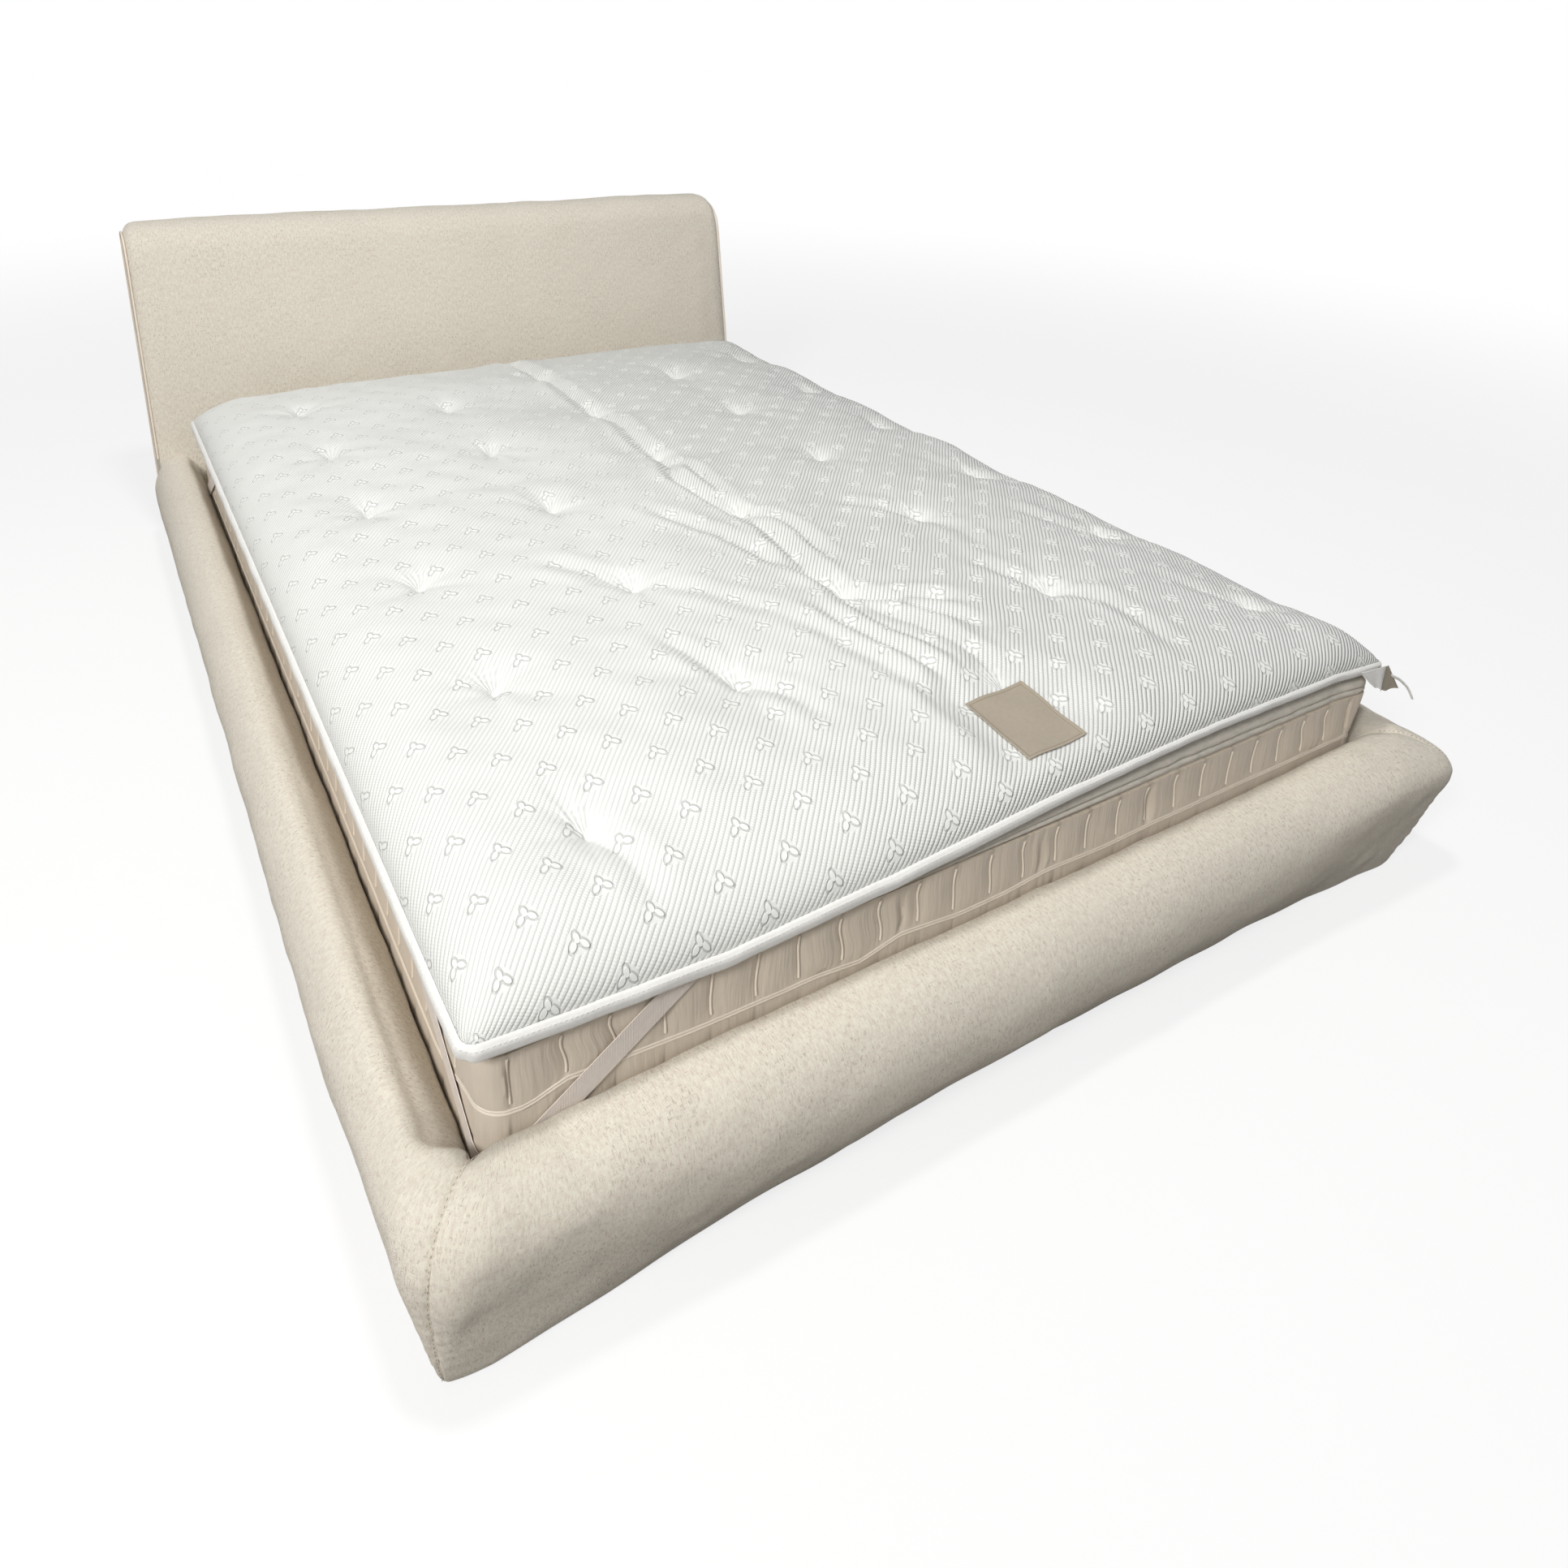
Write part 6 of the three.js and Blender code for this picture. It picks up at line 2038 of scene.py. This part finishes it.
    def edge_path(self, spacing: float) -> tuple[Array, Array, Array]:
        """Gives points round the topper's edge, their outward directions and the edge's lift."""
        points, normals = Outline(self.half, self.foot, self.head, self.corner, self.shift).even(spacing, 10)
        return points, normals, foot_lift(points[:, 0], points[:, 1] - self.foot)

    @staticmethod
    def rolled(points: Array) -> Array:
        """Gives how far the tape is rolled up under the edge, along the foot's right half."""
        return 0.3 * smooth(points[:, 0], -0.1, 0.3) * smooth(points[:, 1], 0.06, 0.0)

    def tape(self) -> Piece:
        """Builds the binding tape that is folded round the edge.

        Returns:
            The new object.
        """
        points, normals, lift = self.edge_path(0.010)
        run = lengths(points)
        shape = spline(self.tape_shape, 15, 2)
        mitre = np.exp(-((np.abs(normals[:, 0]) - np.abs(normals[:, 1])) / 0.4) ** 2)
        rolled = self.rolled(points)
        wobble = (1 + 0.05 * ripple(run, run * 0, 0.07, 41) - 0.35 * mitre) * (1 - rolled)
        level = self.bottom + lift + 0.0004 * ripple(run, run * 0, 0.05, 42)
        rings = []
        for out, up in shape:
            push = out * (wobble if out > 0.001 else np.ones(len(run)))
            rise = up + rolled * (0.0165 - up)
            rings.append(np.column_stack([points + normals * push[:, None], level + rise]))
        rings = np.stack(rings, 1)
        maker = Maker()
        index = maker.add(rings)
        index = np.hstack([index, index[:, :1]])
        maker.grid(np.vstack([index, index[:1]]), crossings(loop_lengths(points), loop_lengths(shape)))
        piece = maker.build("topper_tape", TAPE, 70)
        return keep(piece, Body.TOPPER, ("topper_piping",))

    def tape_stitches(self) -> Piece:
        """Runs the tape's stitches along its upper edge, by Geometry Nodes.

        Returns:
            The new object.
        """
        points, normals, lift = self.edge_path(0.010)
        run = lengths(points)
        rolled = self.rolled(points)
        rise = 0.0134 + rolled * 0.0031 + lift + 0.0004 * ripple(run, run * 0, 0.05, 42)
        line = np.column_stack([points + normals * (0.0066 * (1 - rolled))[:, None], self.bottom + rise])
        line = np.vstack([line, line[:1]])
        piece = Repeats.lay("tape_stitches", Repeats.stitches(), [line],
                            {"Pitch": 0.0055, "Length": 0.0036, "Width": 0.0009}, THREAD)
        return keep(piece, Body.TOPPER)

    def label(self) -> Piece:
        """Lays the bare woven label on the knit.

        Returns:
            The new object.
        """
        x0, x1, y0, y1 = self.label_box
        hem = np.array([0, 0.0008, 0.0016, 0.0030, 0.0038, 0.0046])
        across = np.concatenate([x0 + hem, np.linspace(x0 + 0.008, x1 - 0.008, 24), x1 - hem[::-1]])
        along = np.concatenate([y0 + hem, np.linspace(y0 + 0.008, y1 - 0.008, 30), y1 - hem[::-1]])
        gx, gy = np.meshgrid(across, along, indexing="ij")
        inside = np.minimum(np.minimum(gx - x0, x1 - gx), np.minimum(gy - y0, y1 - gy))
        z = self.label_height(gx, gy) + 0.0011 * smooth(inside, 0.0042, 0.0030)
        maker = Maker()
        rim = 0.0008
        sheet = np.stack([gx, gy, z + 0.0012], -1)
        maker.slab(sheet, sheet + [0, 0, rim], np.stack([gx, gy], -1))
        piece = maker.build("label_patch_cloth", LABEL, 60)
        keep(piece, Body.TOPPER, ("label_patch",))
        x1 - x0
        y1 - y0
        inset = 0.0048
        x0, x1, y0, y1 = x0 + inset, x1 - inset, y0 + inset, y1 - inset
        corners = np.array([(x0, y0), (x1, y0), (x1, y1), (x0, y1)])
        lines = []
        for a, b in zip(corners, np.roll(corners, -1, 0)):
            share = np.linspace(0, 1, 40)[:, None]
            line = a + (b - a) * share
            lines.append(np.column_stack([line, self.label_height(line[:, 0], line[:, 1]) + 0.0012 + rim]))
        stitches = Repeats.lay("label_stitches", Repeats.stitches(), lines,
                               {"Pitch": 0.0032, "Length": 0.0024, "Width": 0.0008}, LABEL_THREAD)
        return keep(stitches, Body.TOPPER)

    def label_height(self, x: Array, y: Array) -> Array:
        """Gives the height of the knit under the label, a slope evened out over its small creases."""
        return 0.389 + (y - 0.03) * 0.1 + (x - 0.065) * 0.06 + 0.0012 * ripple(x, y, 0.07, 24)

    def tail(self) -> Piece:
        """Builds the loose end of the tape at the foot's right corner.

        Returns:
            The new object.
        """
        path = spline(self.tie, 24)
        maker = Maker()
        tube(maker, path, np.linspace(0.0024, 0.0016, 24), 8)
        piece = maker.build("tape_tail", TAPE)
        keep(piece, Body.TOPPER, ("piping_tail",))
        return piece

    def cloth_end(self, name: str, finish: Finish, corners: tuple, curl: float) -> Piece:
        """Builds a small loose end of cloth that hangs from the corner of the tape.

        Args:
            name: The piece's name.
            finish: Its finish.
            corners: Its upper left, upper right, lower right and lower left corner.
            curl: How far it swells toward the foot.

        Returns:
            The piece.
        """
        s, t = np.meshgrid(np.linspace(0, 1, 16), np.linspace(0, 1, 10), indexing="ij")
        a, b, c, d = (np.array(corner) for corner in corners)
        across, down = s[..., None], t[..., None]
        sheet = (a * (1 - across) + b * across) * (1 - down) + (d * (1 - across) + c * across) * down
        sheet[..., 1] -= curl * (np.sin(math.pi * s) + 0.4 * np.sin(3 * math.pi * s)) * (0.3 + 0.7 * t)
        sheet[..., 2] -= curl * 0.6 * np.sin(2 * math.pi * s) * t
        cells = np.cross(np.diff(sheet, axis=0)[:, 1:], np.diff(sheet, axis=1)[1:])
        wide = float(np.linalg.norm(np.diff(sheet, axis=0), axis=-1).sum(0).mean())
        size = (wide, float(np.linalg.norm(cells, axis=-1).sum()) / wide)
        maker = Maker()
        maker.slab(sheet - [0, 0.0009, 0], sheet, np.stack([s * size[0], t * size[1]], -1))
        piece = maker.build(name, finish, 60)
        keep(piece, Body.TOPPER)
        return piece

    def build(self) -> None:
        """Builds every piece of the topper but its bands."""
        self.body()
        self.tape()
        self.tape_stitches()
        self.label()
        self.tail()
        self.cloth_end("tape_end", TAPE, self.fold, 0.004)
        self.cloth_end("cover_end", LABEL, self.flap, 0.005)


@dataclass
class Bands:
    """The topper's elastic corner bands, flat strips wrapped on the mattress's upright faces."""

    half: float = 0.700
    length: float = 2.0
    corner: float = 0.030
    top: float = 0.3184
    low: float = 0.1564
    width: float = 0.028
    thickness: float = 0.0010
    end_reach: float = 0.225
    side_reach: float = 0.300
    stand_off: float = 0.0012

    def walk(self, sign: int, head: bool, distance: Array, out: Array | float) -> Array:
        """Places distances along the mattress's outline, negative on the end and positive on the side.

        Args:
            sign: -1 on the left, 1 on the right.
            head: Whether it is at the head.
            distance: Distances from the corner.
            out: How far off the outline.

        Returns:
            The places across and along.
        """
        quarter = self.corner * math.pi / 2
        angle = np.clip(distance / quarter + 0.5, 0, 1) * math.pi / 2
        end = np.clip(-distance - quarter / 2, 0, None)
        side = np.clip(distance - quarter / 2, 0, None)
        end_sign = 1 if head else -1
        cy = self.length - self.corner if head else self.corner
        radius = self.corner + out
        return np.stack([sign * (self.half - self.corner) + sign * (radius * np.sin(angle) - end),
                         cy + end_sign * (radius * np.cos(angle) - side)], -1)

    def strip(self, name: str, sign: int, head: bool, distance: Array, height: Array) -> Piece:
        """Builds one band whose middle runs at a height over a distance.

        Args:
            name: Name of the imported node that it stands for.
            sign: -1 on the left, 1 on the right.
            head: Whether it is at the head.
            distance: Distances from the corner, negative on the end.
            height: Height of its middle at each.

        Returns:
            The new object.
        """
        slope = np.gradient(height, distance)
        half = self.width / 2 * np.hypot(1, slope)
        upper = np.minimum(height + half, self.top - 0.0005)
        lower = np.minimum(height - half, self.top - 0.0015)
        share = np.linspace(0, 1, 7)
        z = lower[:, None] * (1 - share) + upper[:, None] * share
        maker = Maker()
        sheets = []
        for out in (self.stand_off, self.stand_off + self.thickness):
            xy = self.walk(sign, head, distance, out)
            points = np.concatenate([np.repeat(xy[:, None], 7, 1), z[..., None]], -1)
            sheets.append(points)
        run = lengths(np.column_stack([distance, height]))
        maker.slab(*sheets, crossings(run, share * self.width))
        piece = maker.build(name + "_strip", ELASTIC, 60)
        keep(piece, Body.TOPPER, (name,))
        return piece

    def build(self) -> None:
        """Builds the four bands."""
        rise = self.top - self.low
        distance = np.linspace(-self.end_reach, self.side_reach, 90)
        reach = np.where(distance < 0, self.end_reach, self.side_reach)
        height = self.low + rise * np.abs(distance) / reach
        for name, sign, head in (("elastic_band_foot_left", -1, False), ("elastic_band_head_left", -1, True),
                                 ("elastic_band_head_right", 1, True)):
            self.strip(name, sign, head, distance, height)
        slack = np.linspace(0.097, 0.393, 60)
        drop = self.top - 0.095 * np.sin(math.pi * np.clip((slack - 0.095) / 0.3, 0, 1))
        self.strip("elastic_band_foot_right", 1, False, slack, drop)


# ---------------------------------------------------------------- slatted base and frame


@dataclass
class SlattedBase:
    """The two tapes that hold the slats at their spacing, and their staples."""

    offset: float = 0.330
    width: float = 0.030
    low: float = 0.1166
    gap: float = 0.0003
    thickness: float = 0.0012
    start: float = 0.045
    end: float = 1.955
    slats: int = 12
    slat_width: float = 0.070

    def build(self) -> None:
        """Lays the tapes and staples them to each slat."""
        first = self.start + self.slat_width / 2
        middles = np.linspace(first, 2.0 - first, self.slats)
        for side, sign in (("left", -1), ("right", 1)):
            ys = np.linspace(self.start, self.end, 150)
            xs = sign * self.offset + np.linspace(-self.width / 2, self.width / 2, 7)
            gx, gy = np.meshgrid(xs, ys, indexing="ij")
            sag = 0.0009 * smooth(np.abs(gy[..., None] - middles).min(-1), 0.036, 0.08)
            maker = Maker()
            low = np.stack([gx, gy, self.low + self.gap - sag], -1)
            maker.slab(low, low + [0, 0, self.thickness], np.stack([gy, gx], -1))
            name = f"slat_tape_{side}"
            piece = maker.build(name + "_webbing", WEBBING, 60)
            keep(piece, Body.BASE, (name,))
            spots = np.array([(sign * self.offset + dx, y + dy, self.low + self.thickness + self.gap)
                              for y in middles for dx in (-0.008, 0.008) for dy in (-0.02, 0.02)])
            staples = Repeats.lay(f"slat_staples_{side}", Repeats.bars(), [spots],
                                  {"Length": 0.0006, "Width": 0.009, "Depth": 0.0011}, STEEL,
                                  np.zeros(len(spots)), False)
            keep(staples, Body.BASE)


@dataclass
class HardParts:
    """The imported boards, slats, bolts and glides, which stay as they are and get their finishes."""

    def finish_for(self, name: str) -> Finish:
        """Chooses a node's finish by its name.

        Args:
            name: The node's name.

        Returns:
            The finish.
        """
        starts = (
            ("corner_bolt", STEEL), ("headboard_bolt", STEEL), ("glide", PLASTIC),
            ("headboard_panel", PLYWOOD), ("side_board", PINE_Y), ("ledger", PINE_Y),
            ("centre_beam", PINE_Y), ("corner_block", PINE_Z), ("centre_leg", PINE_Z),
            ("headboard_post", PINE_Z), ("headboard_spacer", PINE_Z),
        )
        return next((finish for start, finish in starts if name.startswith(start)), PINE_X)

    def build(self) -> None:
        """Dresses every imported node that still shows."""
        for name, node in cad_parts.items():
            if node.hide_render:
                continue
            finish = self.finish_for(name)
            material = finish.material()
            node.data.materials.clear()
            node.data.materials.append(material)
            LOG.info("%s dressed as %s", name, finish.name)


# ---------------------------------------------------------------- studio


@dataclass
class Studio:
    """Camera, floor, lamps and background."""

    place: Triple = (-0.928, -1.93868, 1.234)
    yaw: float = -0.548
    pitch: float = 1.234
    roll: float = 0.032
    lens: float = 26.481
    shift: tuple[float, float] = (0.02348, -0.22464)
    floor_size: float = 60.0
    fill: float = 0.285
    key_power: float = 134
    ceiling_power: float = 52

    def camera(self) -> None:
        """Stands the camera where the photograph was taken from."""
        data = bpy.data.cameras.new("camera")
        data.sensor_width, data.lens = 36.0, self.lens
        data.shift_x, data.shift_y = self.shift
        data.clip_start, data.clip_end = 0.05, 200.0
        made = linked("camera", data)
        made.matrix_world = (Matrix.Translation(self.place) @ Matrix.Rotation(self.yaw, 4, "Z")
                             @ Matrix.Rotation(self.pitch, 4, "X") @ Matrix.Rotation(self.roll, 4, "Z"))
        bpy.context.scene.camera = made

    def seen(self, tree: Tree) -> Term:
        """Gives 1 for rays that show the background: from the camera, in gloss or through glass.

        Args:
            tree: The world's node tree.

        Returns:
            The share of the shown background.
        """
        path = tree.node("ShaderNodeLightPath").outputs
        either = tree.math("MAXIMUM", path["Is Camera Ray"], path["Is Glossy Ray"])
        return tree.math("MAXIMUM", either, path["Is Transmission Ray"])

    def world(self) -> None:
        """Fills the room with soft light and shows a white background."""
        world = bpy.data.worlds.new("studio")
        world.use_nodes = True
        tree = Tree(world.node_tree)
        world.node_tree.nodes.clear()
        fill = tree.node("ShaderNodeBackground", {}, {"Color": (0.97, 0.98, 1.0, 1), "Strength": self.fill})
        white = tree.node("ShaderNodeBackground", {}, {"Color": (1, 1, 1, 1), "Strength": 1.0})
        sources = {0: self.seen(tree), 1: fill.outputs[0], 2: white.outputs[0]}
        both = tree.node("ShaderNodeMixShader", {}, sources)
        tree.node("ShaderNodeOutputWorld", {}, {"Surface": both.outputs[0]})
        bpy.context.scene.world = world

    def floor(self) -> None:
        """Lays a pale floor that keeps the bed's shadow."""
        maker = Maker()
        reach = self.floor_size / 2
        gx, gy = np.meshgrid([-reach, reach], [-reach, reach], indexing="ij")
        index = maker.add(np.stack([gx, gy, gx * 0 - 0.0005], -1))
        maker.grid(index, np.stack([gx, gy], -1))
        made = maker.build("floor", PLASTIC)
        material = bpy.data.materials.new("floor")
        material.use_nodes = True
        material.node_tree.nodes.clear()
        tree = Tree(material.node_tree)
        pale = tree.node("ShaderNodeBsdfDiffuse", {}, {"Color": (0.22, 0.22, 0.22, 1)})
        glow = tree.node("ShaderNodeEmission", {}, {"Color": (1, 1, 1, 1), "Strength": 0.77})
        near = tree.node("ShaderNodeAddShader", {}, {0: pale.outputs[0], 1: glow.outputs[0]})
        white = tree.node("ShaderNodeEmission", {}, {"Color": (1, 1, 1, 1), "Strength": 1.0})
        away = tree.step(tree.vector("LENGTH", tree.place()), 2.2, 6.0)
        shown = tree.node("ShaderNodeMixShader", {}, {0: away, 1: near.outputs[0], 2: white.outputs[0]})
        dim = tree.node("ShaderNodeBsdfDiffuse", {}, {"Color": (0.24, 0.225, 0.21, 1)})
        sources = {0: self.seen(tree), 1: dim.outputs[0], 2: shown.outputs[0]}
        both = tree.node("ShaderNodeMixShader", {}, sources)
        tree.node("ShaderNodeOutputMaterial", {}, {"Surface": both.outputs[0]})
        made.data.materials.clear()
        made.data.materials.append(material)

    def lamp(self, name: str, place: Triple, aim: Triple,
             size: float, power: float, colour: Triple) -> None:
        """Hangs a square soft lamp aimed at a point.

        Args:
            name: Name of the lamp.
            place: Where it hangs.
            aim: What it faces.
            size: Length of its side.
            power: Its power in watts.
            colour: Its colour, linear.
        """
        data = bpy.data.lights.new(name, "AREA")
        data.size, data.energy, data.color = size, power, colour
        made = linked(name, data)
        turn = (Vector(aim) - Vector(place)).to_track_quat("-Z", "Y")
        made.matrix_world = Matrix.Translation(place) @ turn.to_matrix().to_4x4()

    def build(self) -> None:
        """Sets up the whole studio."""
        self.camera()
        self.world()
        self.floor()
        self.lamp("key_light", (-3.3, -2.7, 3.2), (0, 0.5, 0.2), 0.9, self.key_power, (1.0, 0.985, 0.96))
        self.lamp("ceiling_light", (-0.45, -0.9, 3.7), (0.2, 0.9, 0.2), 0.4, self.ceiling_power,
                  (1.0, 0.99, 0.97))
        bpy.context.scene.view_settings.view_transform = "Standard"


def main() -> None:
    """Builds the bed's looks piece by piece."""
    logging.basicConfig(level=logging.INFO, format="%(message)s")
    Studio().build()
    for part in (RailCovers(), Headboard(), Mattress(), Topper(), Bands(), SlattedBase(), HardParts()):
        LOG.info("building %s", type(part).__name__)
        part.build()


if __name__ == "__main__":
    main()
